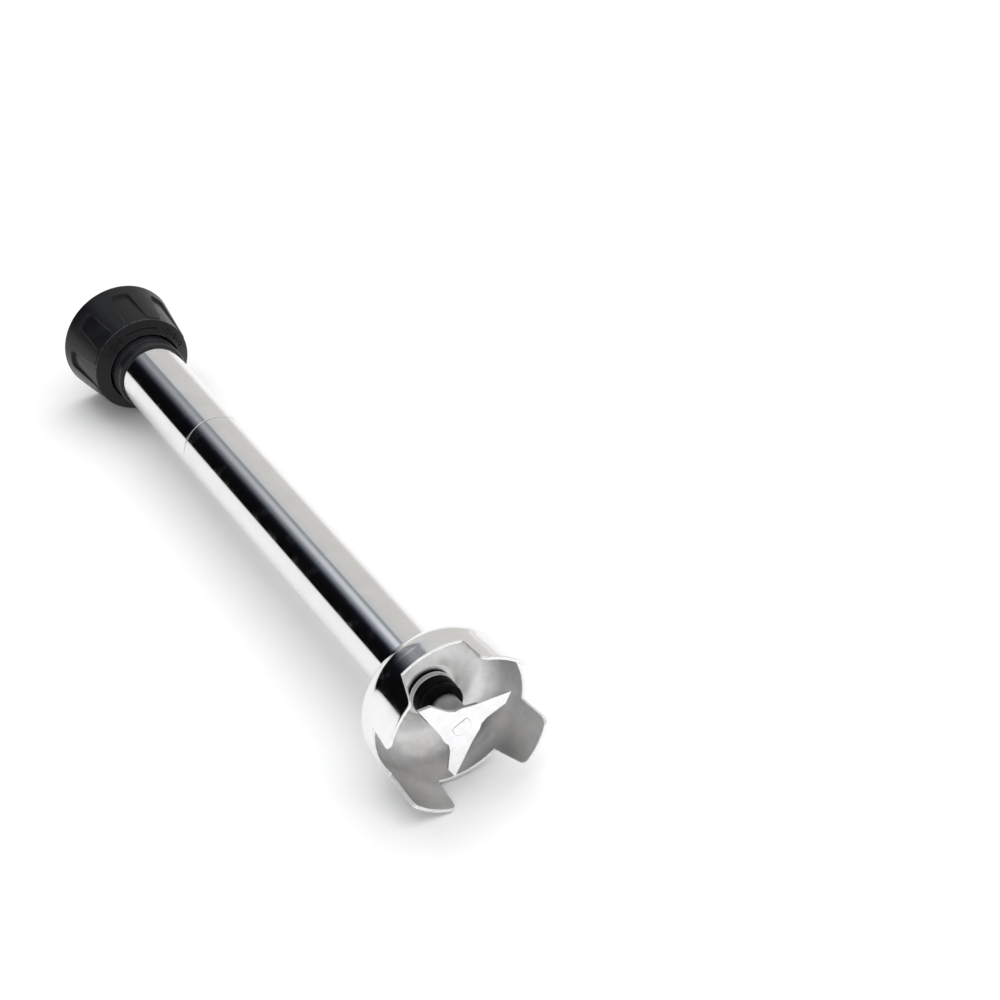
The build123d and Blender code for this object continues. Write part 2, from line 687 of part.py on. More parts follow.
# Black boss that closes the housing and guides the shaft
with BuildPart() as seal_boss:
    with BuildSketch(Plane.XY) as boss_profile:
        with BuildLine():
            Polyline(
                (BOSS_X[0], SHAFT_R + FIT_GAP),
                (BOSS_X[0], BOSS_R),
                (BOSS_GROOVE_X[0], BOSS_R),
                (BOSS_GROOVE_X[0], BOSS_R - BOSS_GROOVE_DEPTH),
                (BOSS_GROOVE_X[1], BOSS_R - BOSS_GROOVE_DEPTH),
                (BOSS_GROOVE_X[1], BOSS_R),
                (BOSS_STEP_X[0], BOSS_R),
                (BOSS_STEP_X[1], BOSS_NECK_R),
                (BAND_X[1] + FIT_GAP, BOSS_NECK_R),
                (BAND_X[1] + FIT_GAP, BOSS_END_R),
                (BOSS_X[1] - BOSS_ROUND[0], BOSS_END_R),
            )
            ThreePointArc(
                (BOSS_X[1] - BOSS_ROUND[0], BOSS_END_R),
                (BOSS_X[1] - BOSS_ROUND[1], BOSS_END_R - BOSS_ROUND[1]),
                (BOSS_X[1], BOSS_END_R - BOSS_ROUND[2]),
            )
            Polyline(
                (BOSS_X[1], BOSS_END_R - BOSS_ROUND[2]),
                (BOSS_X[1], SHAFT_R + FIT_GAP),
                (BOSS_X[0], SHAFT_R + FIT_GAP),
            )
        make_face()
    revolve(axis=Axis.X)
save(seal_boss, "seal_boss")

# Steel band on the boss's neck, just in front of the bell's floor
with BuildPart() as boss_band:
    with BuildSketch(Plane.XY):
        band(*BAND_X, BOSS_NECK_R + FIT_GAP, BAND_R)
    revolve(axis=Axis.X)
save(boss_band, "boss_band")

# O-ring between the boss and the housing
with BuildPart() as boss_o_ring:
    with BuildSketch(Plane.XY):
        with Locations((sum(BOSS_GROOVE_X) / 2, BOSS_R - BOSS_GROOVE_DEPTH + SIDE_GAP + BOSS_RING_R)):
            Circle(BOSS_RING_R)
    revolve(axis=Axis.X)
save(boss_o_ring, "boss_o_ring")

# ---------------------------------------------------------------- rotor

blade_back_x = BLADE_X - BLADE_THICKNESS

# Long drive shaft: circlip grooves, a pin hole, and a D-shaped end through the blade
with BuildPart() as drive_shaft:
    with BuildSketch(Plane.XY):
        band(SHAFT_START_X, SHAFT_END_X, 0, SHAFT_R - SHAFT_SEAT_GAP)
    revolve(axis=Axis.X)
    for bearing_x in (UPPER_BEARING_X, LOWER_BEARING_X):
        for groove_x in (bearing_x - CIRCLIP_GROOVE, bearing_x + BEARING_WIDTH):
            with BuildSketch(Plane.XY):
                band(groove_x, groove_x + CIRCLIP_GROOVE, SHAFT_GROOVE_R, SHAFT_R + JOIN)
            revolve(axis=Axis.X, mode=Mode.SUBTRACT)
    with BuildSketch(Plane.XY):
        with Locations((COUPLING_PIN_X, 0)):
            Circle(COUPLING_PIN_R + SHAFT_SEAT_GAP)
    extrude(amount=SHAFT_R + JOIN, both=True, mode=Mode.SUBTRACT)
    with BuildSketch(axis_plane(blade_back_x, SHAFT_FLAT_DEG)):
        with Locations((SHAFT_FLAT + SHAFT_R, 0)):
            Rectangle(2 * SHAFT_R, 3 * SHAFT_R)
    extrude(amount=2 * BLADE_THICKNESS, mode=Mode.SUBTRACT)
save(drive_shaft, "drive_shaft")

# Drive coupling with a hexagon socket for the motor unit's dog
with BuildPart() as drive_coupling:
    with BuildSketch(Plane.XY) as coupling_profile:
        band(COUPLING_X[0], COUPLING_X[1], 0, COUPLING_R)
        chamfer(coupling_profile.vertices().group_by(Axis.Y)[-1], COUPLING_CHAMFER)
    revolve(axis=Axis.X)
    with BuildSketch(axis_plane(COUPLING_X[0])):
        RegularPolygon(COUPLING_HEX, 6, major_radius=False)
    extrude(amount=COUPLING_HEX_DEPTH, mode=Mode.SUBTRACT)
    with BuildSketch(axis_plane(SHAFT_START_X - FIT_GAP)):
        Circle(SHAFT_R)
    extrude(amount=COUPLING_X[1] - SHAFT_START_X + FIT_GAP, mode=Mode.SUBTRACT)
    with BuildSketch(Plane.XY):
        with Locations((COUPLING_PIN_X, 0)):
            Circle(COUPLING_PIN_R + SHAFT_SEAT_GAP)
    extrude(amount=COUPLING_R + JOIN, both=True, mode=Mode.SUBTRACT)
save(drive_coupling, "drive_coupling")

# Cross pin through the coupling and the shaft
with BuildPart() as coupling_pin:
    with BuildSketch(Plane.XY):
        with Locations((COUPLING_PIN_X, 0)):
            Circle(COUPLING_PIN_R)
    extrude(amount=COUPLING_PIN_LENGTH / 2, both=True)
    chamfer(coupling_pin.edges().filter_by(GeomType.CIRCLE), PIN_CHAMFER)
save(coupling_pin, "coupling_pin")

# Hub between the boss and the blade
with BuildPart() as blade_hub:
    with BuildSketch(Plane.XY) as hub_profile:
        band(HUB_START_X, blade_back_x, SHAFT_R, HUB_R)
        chamfer(hub_profile.vertices().group_by(Axis.Y)[-1], HUB_CHAMFER)
    revolve(axis=Axis.X)
save(blade_hub, "blade_hub")

# Flat blade: each arm runs to a point, ground along its long edge
with BuildPart() as blade:
    for index in range(BLADE_ARMS):
        with BuildSketch(axis_plane(blade_back_x, BLADE_TIP_DEG + index * 360 / BLADE_ARMS)):
            with BuildLine():
                Polyline((0, 0), ARM_ROOT, ARM_GRIND_END, ARM_TIP, ARM_TIP_CUT, ARM_SIDE)
                ThreePointArc(ARM_SIDE, ARM_HOLLOW, ARM_VALLEY)
                Polyline(ARM_VALLEY, Vector(ARM_ROOT).rotate(Axis.Z, -360 / BLADE_ARMS), (0, 0))
            make_face()
        extrude(amount=BLADE_THICKNESS)
    with BuildSketch(axis_plane(blade_back_x, SHAFT_FLAT_DEG)):
        Circle(SHAFT_R)
        with Locations((SHAFT_FLAT + SHAFT_R + SHAFT_SEAT_GAP, 0)):
            Rectangle(2 * SHAFT_R, 3 * SHAFT_R, mode=Mode.SUBTRACT)
    extrude(amount=BLADE_THICKNESS, mode=Mode.SUBTRACT)
save(blade, "blade")
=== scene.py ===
"""Visual model of the blending shaft of a commercial stick blender, on a pale studio floor.

The shaft's axis is the X axis, with the blade at the +X end and +Z up. Angles round the axis start at +Y
and run towards +Z. Sizes in the classes are millimetres, and every mesh is written in metres.
"""
import logging
import math
from dataclasses import dataclass, field, replace
from enum import Enum
from typing import Callable, Optional, Sequence

import bpy
import numpy as np
from mathutils import Matrix, Vector


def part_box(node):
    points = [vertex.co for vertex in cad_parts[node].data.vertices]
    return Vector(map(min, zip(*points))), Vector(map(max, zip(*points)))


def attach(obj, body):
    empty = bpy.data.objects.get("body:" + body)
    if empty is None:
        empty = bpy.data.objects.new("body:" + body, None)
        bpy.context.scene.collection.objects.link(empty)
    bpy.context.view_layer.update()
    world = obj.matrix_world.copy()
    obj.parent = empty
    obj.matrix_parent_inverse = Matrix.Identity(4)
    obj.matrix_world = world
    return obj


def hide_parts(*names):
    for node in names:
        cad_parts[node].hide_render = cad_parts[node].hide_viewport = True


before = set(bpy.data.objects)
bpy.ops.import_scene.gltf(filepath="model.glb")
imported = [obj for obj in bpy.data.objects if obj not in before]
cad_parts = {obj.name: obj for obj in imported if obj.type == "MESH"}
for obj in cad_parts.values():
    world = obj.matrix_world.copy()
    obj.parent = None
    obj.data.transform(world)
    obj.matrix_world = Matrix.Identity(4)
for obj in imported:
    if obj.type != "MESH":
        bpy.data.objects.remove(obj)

LOG = logging.getLogger("shaft")
MM = 0.001
ENGRAVED = "engraved"
# Near-black painted shade that darkens the hollows of the engraved strokes.
ENGRAVED_SHADE_COLOUR = (0.0005, 0.0005, 0.0005)
Point = tuple[float, float]
Colour = tuple[float, float, float]
Limit = Callable[[np.ndarray, np.ndarray], np.ndarray]
Socket = bpy.types.NodeSocket


class Body(Enum):
    """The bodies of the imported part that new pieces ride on."""

    FRAME = "shaft_frame"
    COLLAR = "locking_collar"
    ROTOR = "rotor"


# ------------------------------------------------------------------ mesh tools


def span(node: str) -> tuple[float, float]:
    """Start and end of a CAD node along the axis, in millimetres."""
    low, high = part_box(node)
    return low.x / MM, high.x / MM


def radius(node: str) -> float:
    """Outer radius of a CAD node that is round about the axis, in millimetres."""
    low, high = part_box(node)
    return max(-low.y, high.y, -low.z, high.z) / MM


def smoothstep(value: np.ndarray, low: float, high: float) -> np.ndarray:
    """A smooth rise from 0 at low to 1 at high: 3t^2 - 2t^3 with t the clipped share of the way."""
    share = np.clip((value - low) / (high - low), 0.0, 1.0)
    return share * share * (3.0 - 2.0 * share)


def rounded(points: Sequence[Point], corner: dict[int, float], steps: int = 5,
            closed: bool = True) -> np.ndarray:
    """Round chosen corners of a profile with arcs.

    A corner of radius r is cut back by r / tan(half its angle) along both sides, and the arc is drawn
    between the cuts about the centre on the corner's bisector. A supporting point stands just outside each
    cut.

    Args:
        points: the corners, as (place along the axis, radius) in millimetres.
        corner: the radius wanted at a corner, by its index.
        steps: spans in each arc.
        closed: whether the last corner joins the first.

    Returns:
        The profile as an array of two columns.
    """
    given = np.asarray(points, float)
    count = len(given)
    out: list[np.ndarray] = []
    for index, here in enumerate(given):
        wanted = corner.get(index, 0.0)
        if wanted <= 0 or (not closed and index in (0, count - 1)):
            out.append(here)
            continue
        before = given[(index - 1) % count] - here
        after = given[(index + 1) % count] - here
        reach = (np.linalg.norm(before), np.linalg.norm(after))
        before, after = before / reach[0], after / reach[1]
        half = 0.5 * math.acos(float(np.clip(before @ after, -1, 1)))
        cut = min(wanted / math.tan(half), 0.49 * reach[0], 0.49 * reach[1])
        arc_radius = cut * math.tan(half)
        bisector = (before + after) / np.linalg.norm(before + after)
        centre = here + bisector * arc_radius / math.sin(half)
        start, end = here + before * cut - centre, here + after * cut - centre
        turn = math.atan2(start[0] * end[1] - start[1] * end[0], start @ end)
        margin = min(0.25 * arc_radius, 0.02 * min(reach))
        out.append(here + before * (cut + margin))
        for angle in np.linspace(0, turn, steps + 1):
            cosine, sine = math.cos(angle), math.sin(angle)
            spoke = (start[0] * cosine - start[1] * sine, start[0] * sine + start[1] * cosine)
            out.append(centre + np.array(spoke))
        out.append(here + after * (cut + margin))
    return np.array(out)


def dense(profile: np.ndarray, step: float) -> np.ndarray:
    """Add evenly spaced points to a closed profile.

    Args:
        profile: the profile.
        step: the longest span that may stay, in millimetres.

    Returns:
        The profile with the added points.
    """
    out: list[np.ndarray] = []
    for here, there in zip(profile, np.roll(profile, -1, axis=0)):
        parts = max(1, math.ceil(float(np.linalg.norm(there - here)) / step))
        out.append(here + (there - here) * np.linspace(0, 1, parts, endpoint=False)[:, None])
    return np.concatenate(out)


def grid_faces(rows: int, columns: int, wrap_rows: bool, wrap_columns: bool) -> np.ndarray:
    """Quads of a grid of points.

    Args:
        rows: points along the first side.
        columns: points along the second side.
        wrap_rows: whether the last row joins the first.
        wrap_columns: whether the last column joins the first.

    Returns:
        Four corner numbers for each quad.
    """
    row = np.arange(rows if wrap_rows else rows - 1)
    column = np.arange(columns if wrap_columns else columns - 1)
    low, left = (part.ravel() for part in np.meshgrid(row, column, indexing="ij"))
    high, right = (low + 1) % rows, (left + 1) % columns
    near, far = low * columns, high * columns
    return np.stack([near + left, near + right, far + right, far + left], 1)


def make_piece(name: str, points: np.ndarray, faces: np.ndarray, body: Body,
               smooth: bool = True, replaces: Sequence[str] = ()) -> bpy.types.Object:
    """Turn points and quads into a closed piece of the object.

    Its faces are turned outwards by the sign of its volume, which goes with the sum of each face's area
    vector times the sum of its corners.

    Args:
        name: the piece's name.
        points: corners in millimetres, one row each.
        faces: corner numbers of each face.
        body: the body that it rides on.
        smooth: whether its faces are shaded smoothly.
        replaces: CAD nodes that it stands for.

    Returns:
        The piece, riding on its body.
    """
    first, second, third, fourth = (points[faces[:, k]] for k in range(4))
    volume = np.sum(np.cross(third - first, fourth - second) * (first + second + third + fourth))
    mesh = bpy.data.meshes.new(name)
    mesh.from_pydata((points * MM).tolist(), [], (faces if volume > 0 else faces[:, ::-1]).tolist())
    mesh.polygons.foreach_set("use_smooth", np.full(len(mesh.polygons), smooth))
    mesh.update()
    mesh.validate()
    piece = bpy.data.objects.new(name, mesh)
    bpy.context.scene.collection.objects.link(piece)
    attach(piece, body.value)
    if replaces:
        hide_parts(*replaces)
    return piece


def make_round_piece(name: str, along: np.ndarray, reach: np.ndarray, degrees: np.ndarray, body: Body,
                     replaces: Sequence[str] = ()) -> bpy.types.Object:
    """Bend a closed grid about the axis: place x and radius r at angle a go to (x, r cos a, r sin a).

    Args:
        name: the piece's name.
        along: places along the axis, a row for each point of the profile.
        reach: radii.
        degrees: angles.
        body: the body that it rides on.
        replaces: CAD nodes that it stands for.

    Returns:
        The piece.
    """
    turn = np.radians(degrees)
    points = np.stack([along, reach * np.cos(turn), reach * np.sin(turn)], axis=2).reshape(-1, 3)
    return make_piece(name, points, grid_faces(*reach.shape, True, True), body, replaces=replaces)


def turned(name: str, profile: np.ndarray, body: Body, replaces: Sequence[str] = (),
           segments: int = 192, limit: Optional[Limit] = None) -> bpy.types.Object:
    """Turn a closed profile about the axis.

    Args:
        name: the piece's name.
        profile: closed outline of the wall.
        body: the body that it rides on.
        replaces: CAD nodes that it stands for.
        segments: spans round the axis.
        limit: changes the radii, given the radii and the angles in degrees.

    Returns:
        The turned piece.
    """
    angle = np.linspace(0, 360, segments, endpoint=False)
    along = np.repeat(profile[:, :1], segments, axis=1)
    reach = np.repeat(profile[:, 1:], segments, axis=1)
    if limit:
        reach = limit(reach, np.broadcast_to(angle, reach.shape))
    return make_round_piece(name, along, reach, angle[None, :], body, replaces)


# ------------------------------------------------------------------ shader groups and finishes


def new_group(name: str, inputs: dict[str, object], outputs: dict[str, str]) -> tuple:
    """Start a shader node group with named sockets.

    Args:
        name: the group's name.
        inputs: each input's name, with a float default or "vector" or "color".
        outputs: each output's name, with its kind: "float", "vector" or "color".

    Returns:
        The group, its input node and its output node.
    """
    kinds = {"float": "NodeSocketFloat", "vector": "NodeSocketVector", "color": "NodeSocketColor"}
    group = bpy.data.node_groups.new(name, "ShaderNodeTree")
    for label, default in inputs.items():
        kind = default if isinstance(default, str) else "float"
        socket = group.interface.new_socket(label, in_out="INPUT", socket_type=kinds[kind])
        if kind == "float":
            socket.default_value = float(default)
    for label, kind in outputs.items():
        group.interface.new_socket(label, in_out="OUTPUT", socket_type=kinds[kind])
    return group, group.nodes.new("NodeGroupInput"), group.nodes.new("NodeGroupOutput")


def feed(tree: bpy.types.NodeTree, node: bpy.types.Node, links: dict) -> None:
    """Feed a node's inputs.

    Args:
        tree: the node tree.
        node: the node to feed.
        links: each input, by name or number, with a value or the output socket that feeds it.
    """
    for key, value in links.items():
        if isinstance(value, Socket):
            tree.links.new(value, node.inputs[key])
        else:
            node.inputs[key].default_value = value


def add(tree: bpy.types.NodeTree, kind: str, links: Optional[dict] = None,
        **settings: object) -> bpy.types.Node:
    """Add a node, set its properties, and feed its inputs.

    Args:
        tree: the node tree.
        kind: the node's type, without "ShaderNode".
        links: each input, by name or number, with a value or the output socket that feeds it.
        settings: properties of the node.

    Returns:
        The new node.
    """
    node = tree.nodes.new("ShaderNode" + kind)
    for key, value in settings.items():
        setattr(node, key, value)
    feed(tree, node, links or {})
    return node


def calc(tree: bpy.types.NodeTree, operation: str, *values: object, clamp: bool = False) -> Socket:
    """The result of a math node on values or sockets."""
    return add(tree, "Math", dict(enumerate(values)), operation=operation, use_clamp=clamp).outputs[0]


def noise(tree: bpy.types.NodeTree, place: Socket, scale: object, detail: float, roughness: float = 0.5,
          distortion: float = 0.0) -> bpy.types.Node:
    """A noise texture, read at a place."""
    return add(tree, "TexNoise", {"Vector": place, "Scale": scale, "Detail": detail,
                                  "Roughness": roughness, "Distortion": distortion})


def mixed(tree: bpy.types.NodeTree, share: object, first: object, second: object,
          blend: str = "MIX") -> Socket:
    """Mix two colours, multiply them or add them.

    Args:
        tree: the node tree.
        share: how far the second colour takes effect, from 0 to 1.
        first: a colour, or the socket of one.
        second: a colour, or the socket of one.
        blend: MIX, MULTIPLY or ADD.

    Returns:
        The socket of the result.
    """
    pair = [(*side, 1) if isinstance(side, tuple) else side for side in (first, second)]
    return add(tree, "Mix", {"Factor": share, 6: pair[0], 7: pair[1]}, data_type="RGBA",
               blend_type=blend).outputs[2]


def ramp(tree: bpy.types.NodeTree, value: Socket, low: float, high: float) -> Socket:
    """A smooth mask.

    Args:
        tree: the node tree.
        value: what the mask follows.
        low: the value at which it is 0.
        high: the value at which it is 1.

    Returns:
        The mask's socket.
    """
    node = add(tree, "MapRange", {"Value": value, "From Min": low, "From Max": high},
               interpolation_type="SMOOTHSTEP", clamp=True)
    return node.outputs["Result"]


def scratch_group() -> bpy.types.NodeTree:
    """Fine marks of a polishing belt round the axis, with a few long stray scratches.

    Returns:
        A group with Marks, Strays and Smudge masks, on object coordinates in metres.
    """
    group, given, made = new_group("polishing marks",
                                   {"Position": "vector", "Fineness": 9000.0, "Strays": 0.03},
                                   {"Marks": "float", "Strays": "float", "Smudge": "float"})
    place = given.outputs["Position"]
    split = add(group, "SeparateXYZ", {0: place})
    along = calc(group, "MULTIPLY", split.outputs[0], given.outputs["Fineness"])
    across = [calc(group, "MULTIPLY", split.outputs[k], 60.0) for k in (1, 2)]
    ring = add(group, "CombineXYZ", {0: along, 1: across[0], 2: across[1]})
    marks = noise(group, ring.outputs[0], 0.35, 6.0, 0.7)
    group.links.new(ramp(group, marks.outputs["Fac"], 0.38, 0.66), made.inputs["Marks"])
    bent = noise(group, place, 14.0, 2.0)
    shift = add(group, "VectorMath", {0: place, 1: bent.outputs["Color"]}, operation="ADD")
    turn = add(group, "Mapping", {"Vector": shift.outputs[0], "Rotation": (0.4, 0.5, 0.9),
                                  "Scale": (26.0, 900.0, 900.0)})
    lines = noise(group, turn.outputs[0], 0.8, 3.0, 0.6)
    off_line = calc(group, "ABSOLUTE", calc(group, "SUBTRACT", lines.outputs["Fac"], 0.5))
    width = calc(group, "MULTIPLY", given.outputs["Strays"], 0.25)
    hit = calc(group, "LESS_THAN", off_line, width)
    where = noise(group, place, 70.0, 2.0)
    patch = ramp(group, where.outputs["Fac"], 0.5, 0.62)
    group.links.new(calc(group, "MULTIPLY", hit, patch), made.inputs["Strays"])
    haze = noise(group, place, 45.0, 4.0, 0.6)
    group.links.new(ramp(group, haze.outputs["Fac"], 0.35, 0.75), made.inputs["Smudge"])
    return group


def grain_group() -> bpy.types.NodeTree:
    """Even fine grain of a blasted, moulded or sintered surface, with broad mottling.

    Returns:
        A group with a Grain height and a Mottle mask, on object coordinates in metres.
    """
    group, given, made = new_group("surface grain",
                                   {"Position": "vector", "Grain Scale": 2600.0, "Mottle Scale": 120.0},
                                   {"Grain": "float", "Mottle": "float"})
    place = given.outputs["Position"]
    fine = noise(group, place, given.outputs["Grain Scale"], 3.0, 0.65)
    group.links.new(fine.outputs["Fac"], made.inputs["Grain"])
    broad = noise(group, place, given.outputs["Mottle Scale"], 5.0, 0.62, 0.3)
    group.links.new(ramp(group, broad.outputs["Fac"], 0.32, 0.7), made.inputs["Mottle"])
    return group


def edge_wear_and_highlight_group() -> bpy.types.NodeTree:
    """Edges for rubbed wear and for painted highlights: where a slightly rounded normal leaves the surface's
    own, broken up by noise.

    Returns:
        A group with an Edge mask, from the width of the rounding.
    """
    group, given, made = new_group("edge wear and highlight", {"Position": "vector", "Width": 0.0005}, {"Edge": "float"})
    soft = add(group, "Bevel", {"Radius": given.outputs["Width"]}, samples=6)
    own = add(group, "NewGeometry")
    match = add(group, "VectorMath", {0: soft.outputs[0], 1: own.outputs["Normal"]},
                operation="DOT_PRODUCT")
    gap = calc(group, "SUBTRACT", 1.0, match.outputs["Value"])
    rub = noise(group, given.outputs["Position"], 420.0, 4.0)
    broken = ramp(group, rub.outputs["Fac"], 0.3, 0.6)
    worn = calc(group, "MULTIPLY", ramp(group, gap, 0.01, 0.14), broken)
    group.links.new(worn, made.inputs["Edge"])
    return group


@dataclass(frozen=True)
class Finish:
    """A surface finish: two colours mixed by mottling, with a range of roughness.

    It may have polishing marks and stray scratches, a bumpy grain, edges turned another colour (rubbed wear,
    and a painted highlight on the collar plastic), and engraved strokes darkened with painted shade where
    the mesh says so.
    """

    name: str
    colour: Colour
    second: Colour
    metallic: float = 0.0
    roughness: Point = (0.4, 0.5)
    marks: float = 0.0
    fineness: float = 9000.0
    strays: float = 0.0
    grain: float = 0.0
    grain_scale: float = 2600.0
    mottle_scale: float = 120.0
    edge: float = 0.0
    edge_width: float = 0.0005
    edge_colour: Colour = (0.5, 0.5, 0.5)
    specular: float = 0.5
    engraved: float = 0.0

    def build(self) -> bpy.types.Material:
        """Make the finish's material, once.

        Returns:
            The material, from the shared groups and this finish's values.
        """
        known = bpy.data.materials.get(self.name)
        if known:
            return known
        material = bpy.data.materials.new(self.name)
        material.use_nodes = True
        tree = material.node_tree
        place = add(tree, "TexCoord").outputs["Object"]
        grain = self.place_group(tree, "surface grain", {
            "Position": place, "Grain Scale": self.grain_scale, "Mottle Scale": self.mottle_scale})
        mottle = grain.outputs["Mottle"]
        colour = mixed(tree, mottle, self.colour, self.second)
        level = add(tree, "MapRange", {"Value": mottle, "To Min": self.roughness[0],
                                       "To Max": self.roughness[1]}).outputs[0]
        height = calc(tree, "MULTIPLY", grain.outputs["Grain"], self.grain)
        if self.marks or self.strays:
            height, level = self.marked(tree, place, height, level)
        if self.edge:
            # Edges take the edge colour: rubbed wear on most finishes, and a painted highlight of glints on
            # the collar plastic.
            edge_mask_node = self.place_group(tree, "edge wear and highlight", {"Position": place, "Width": self.edge_width})
            edge_share = calc(tree, "MULTIPLY", edge_mask_node.outputs["Edge"], self.edge)
            colour = mixed(tree, edge_share, colour, self.edge_colour)
        if self.engraved:
            # Painted shade: the engraved strokes turn near-black, and rougher, by the share that the mesh
            # stores under ENGRAVED.
            mark_shade_mask = add(tree, "Attribute", attribute_name=ENGRAVED).outputs["Fac"]
            mark_shade_share = calc(tree, "MULTIPLY", mark_shade_mask, self.engraved)
            colour = mixed(tree, mark_shade_share, colour, ENGRAVED_SHADE_COLOUR)
            level = calc(tree, "MULTIPLY_ADD", mark_shade_share, 0.5, level, clamp=True)
        bump = add(tree, "Bump", {"Height": height, "Strength": 0.6, "Distance": 0.00002})
        feed(tree, tree.nodes["Principled BSDF"], {
            "Base Color": colour, "Roughness": level, "Normal": bump.outputs[0],
            "Metallic": self.metallic, "Specular IOR Level": self.specular})
        return material

    def marked(self, tree: bpy.types.NodeTree, place: Socket, height: Socket,
               level: Socket) -> tuple[Socket, Socket]:
        """Add polishing marks, stray scratches and smudges to the bump height and the roughness.

        Args:
            tree: the material's nodes.
            place: object coordinates.
            height: the bump height without the marks.
            level: the roughness without the marks.

        Returns:
            The height and the roughness with the marks.
        """
        marks = self.place_group(tree, "polishing marks", {
            "Position": place, "Fineness": self.fineness, "Strays": self.strays})
        lines, strays, smudge = (marks.outputs[name] for name in ("Marks", "Strays", "Smudge"))
        raised = calc(tree, "MULTIPLY_ADD", lines, self.marks, height)
        raised = calc(tree, "MULTIPLY_ADD", strays, self.marks * 1.5 + 0.2, raised)
        dull = calc(tree, "MULTIPLY", lines, 0.06 * self.marks)
        dull = calc(tree, "MULTIPLY_ADD", strays, 0.25, dull)
        dull = calc(tree, "MULTIPLY_ADD", smudge, 0.025, dull)
        return raised, calc(tree, "ADD", level, dull)

    @staticmethod
    def place_group(tree: bpy.types.NodeTree, name: str, links: dict) -> bpy.types.Node:
        """Place a shared node group in a material.

        Args:
            tree: the material's nodes.
            name: the group's name.
            links: each of its inputs with a value or a socket.

        Returns:
            The group's node.
        """
        node = tree.nodes.new("ShaderNodeGroup")
        node.node_tree = bpy.data.node_groups[name]
        feed(tree, node, links)
        return node

    def dress(self, *pieces: bpy.types.Object) -> None:
        """Give this finish to pieces as their only material."""
        for piece in pieces:
            piece.data.materials.clear()
            piece.data.materials.append(self.build())


# The collar's pale bluish edge colour is a painted highlight: thin glints along the lands' and the face's
# edges.
COLLAR_PLASTIC = Finish(
    "collar plastic", (0.0045, 0.0048, 0.0056), (0.0065, 0.0069, 0.0078), roughness=(0.30, 0.40),
    grain=0.7, grain_scale=3200.0, mottle_scale=90.0, edge=0.85, edge_width=0.0006,
    edge_colour=(0.15, 0.155, 0.170), specular=0.20)
# The face's plastic, with painted shade darkening its engraved strokes.
MARKED_PLASTIC = replace(COLLAR_PLASTIC, name="marked collar plastic", engraved=0.95)
NECK_PLASTIC = Finish(
    "neck plastic", (0.009, 0.009, 0.011), (0.013, 0.013, 0.015), roughness=(0.16, 0.26), marks=0.25,
    fineness=5000.0, grain=0.15, edge=0.2, edge_colour=(0.05, 0.05, 0.052), specular=0.3)
TUBE_STEEL = Finish(
    "tube steel", (0.80, 0.80, 0.795), (0.76, 0.76, 0.755), metallic=1.0, roughness=(0.055, 0.085),
    marks=0.14, fineness=5200.0, strays=0.008, grain=0.03, grain_scale=1800.0, mottle_scale=60.0)
BELL_MIRROR = Finish(
    "bell mirror", (0.84, 0.84, 0.83), (0.79, 0.79, 0.785), metallic=1.0, roughness=(0.055, 0.09),
    marks=0.05, fineness=3000.0, strays=0.03, grain=0.03, grain_scale=900.0, mottle_scale=50.0)
BELL_BLASTED = Finish(
    "bell blasted", (0.80, 0.795, 0.79), (0.72, 0.715, 0.71), metallic=1.0, roughness=(0.30, 0.38),
    grain=1.6, grain_scale=2200.0, mottle_scale=160.0)
BELL_RIM = Finish(
    "bell rim", (0.88, 0.88, 0.87), (0.81, 0.81, 0.80), metallic=1.0, roughness=(0.2, 0.34),
    marks=0.08, fineness=2500.0, strays=0.02, grain=0.1, grain_scale=1500.0, mottle_scale=300.0)
BLADE_STEEL = Finish(
    "blade steel", (0.93, 0.93, 0.94), (0.86, 0.86, 0.87), metallic=1.0, roughness=(0.26, 0.34),
    marks=0.15, fineness=2500.0, strays=0.02, grain=0.3, mottle_scale=140.0, edge=0.5,
    edge_width=0.0003, edge_colour=(0.97, 0.97, 0.97))
SHAFT_STEEL = replace(BLADE_STEEL, name="shaft steel", edge=0.0)
TURNED_STEEL = Finish(
    "turned steel", (0.54, 0.535, 0.53), (0.46, 0.455, 0.45), metallic=1.0, roughness=(0.34, 0.44),
    marks=1.1, grain=0.3, mottle_scale=220.0)
HOUSING_STEEL = Finish(
    "housing steel", (0.72, 0.72, 0.715), (0.62, 0.62, 0.615), metallic=1.0, roughness=(0.2, 0.3),
    marks=0.6, fineness=7000.0, grain=0.2, edge=0.3, edge_colour=(0.95, 0.95, 0.95))
BEARING_STEEL = Finish(
    "bearing steel", (0.70, 0.71, 0.73), (0.62, 0.63, 0.65), metallic=1.0, roughness=(0.12, 0.2),
    marks=0.3, grain=0.1, edge=0.2)
SPRING_STEEL = Finish(
    "spring steel", (0.16, 0.16, 0.165), (0.11, 0.11, 0.115), metallic=0.9, roughness=(0.38, 0.5),
    grain=1.0, edge=0.5, edge_colour=(0.55, 0.55, 0.55))
RING_STEEL = Finish(
    "bayonet steel", (0.66, 0.66, 0.665), (0.56, 0.56, 0.565), metallic=1.0, roughness=(0.28, 0.38),
    marks=0.2, strays=0.04, grain=0.5, edge=0.6, edge_colour=(0.9, 0.9, 0.9))
BOSS_PLASTIC = Finish(
    "boss plastic", (0.0016, 0.0017, 0.0024), (0.0026, 0.0027, 0.0036), roughness=(0.34, 0.46),
    marks=0.5, fineness=6000.0, grain=0.3, edge=0.2, edge_colour=(0.02, 0.02, 0.022), specular=0.06)
SEAL_RUBBER = Finish(
    "seal rubber", (0.018, 0.018, 0.020), (0.026, 0.026, 0.028), roughness=(0.55, 0.7), grain=1.2)
BRONZE = Finish(
    "sintered bronze", (0.52, 0.34, 0.17), (0.44, 0.28, 0.14), metallic=1.0, roughness=(0.36, 0.5),
    grain=1.4, grain_scale=1800.0)
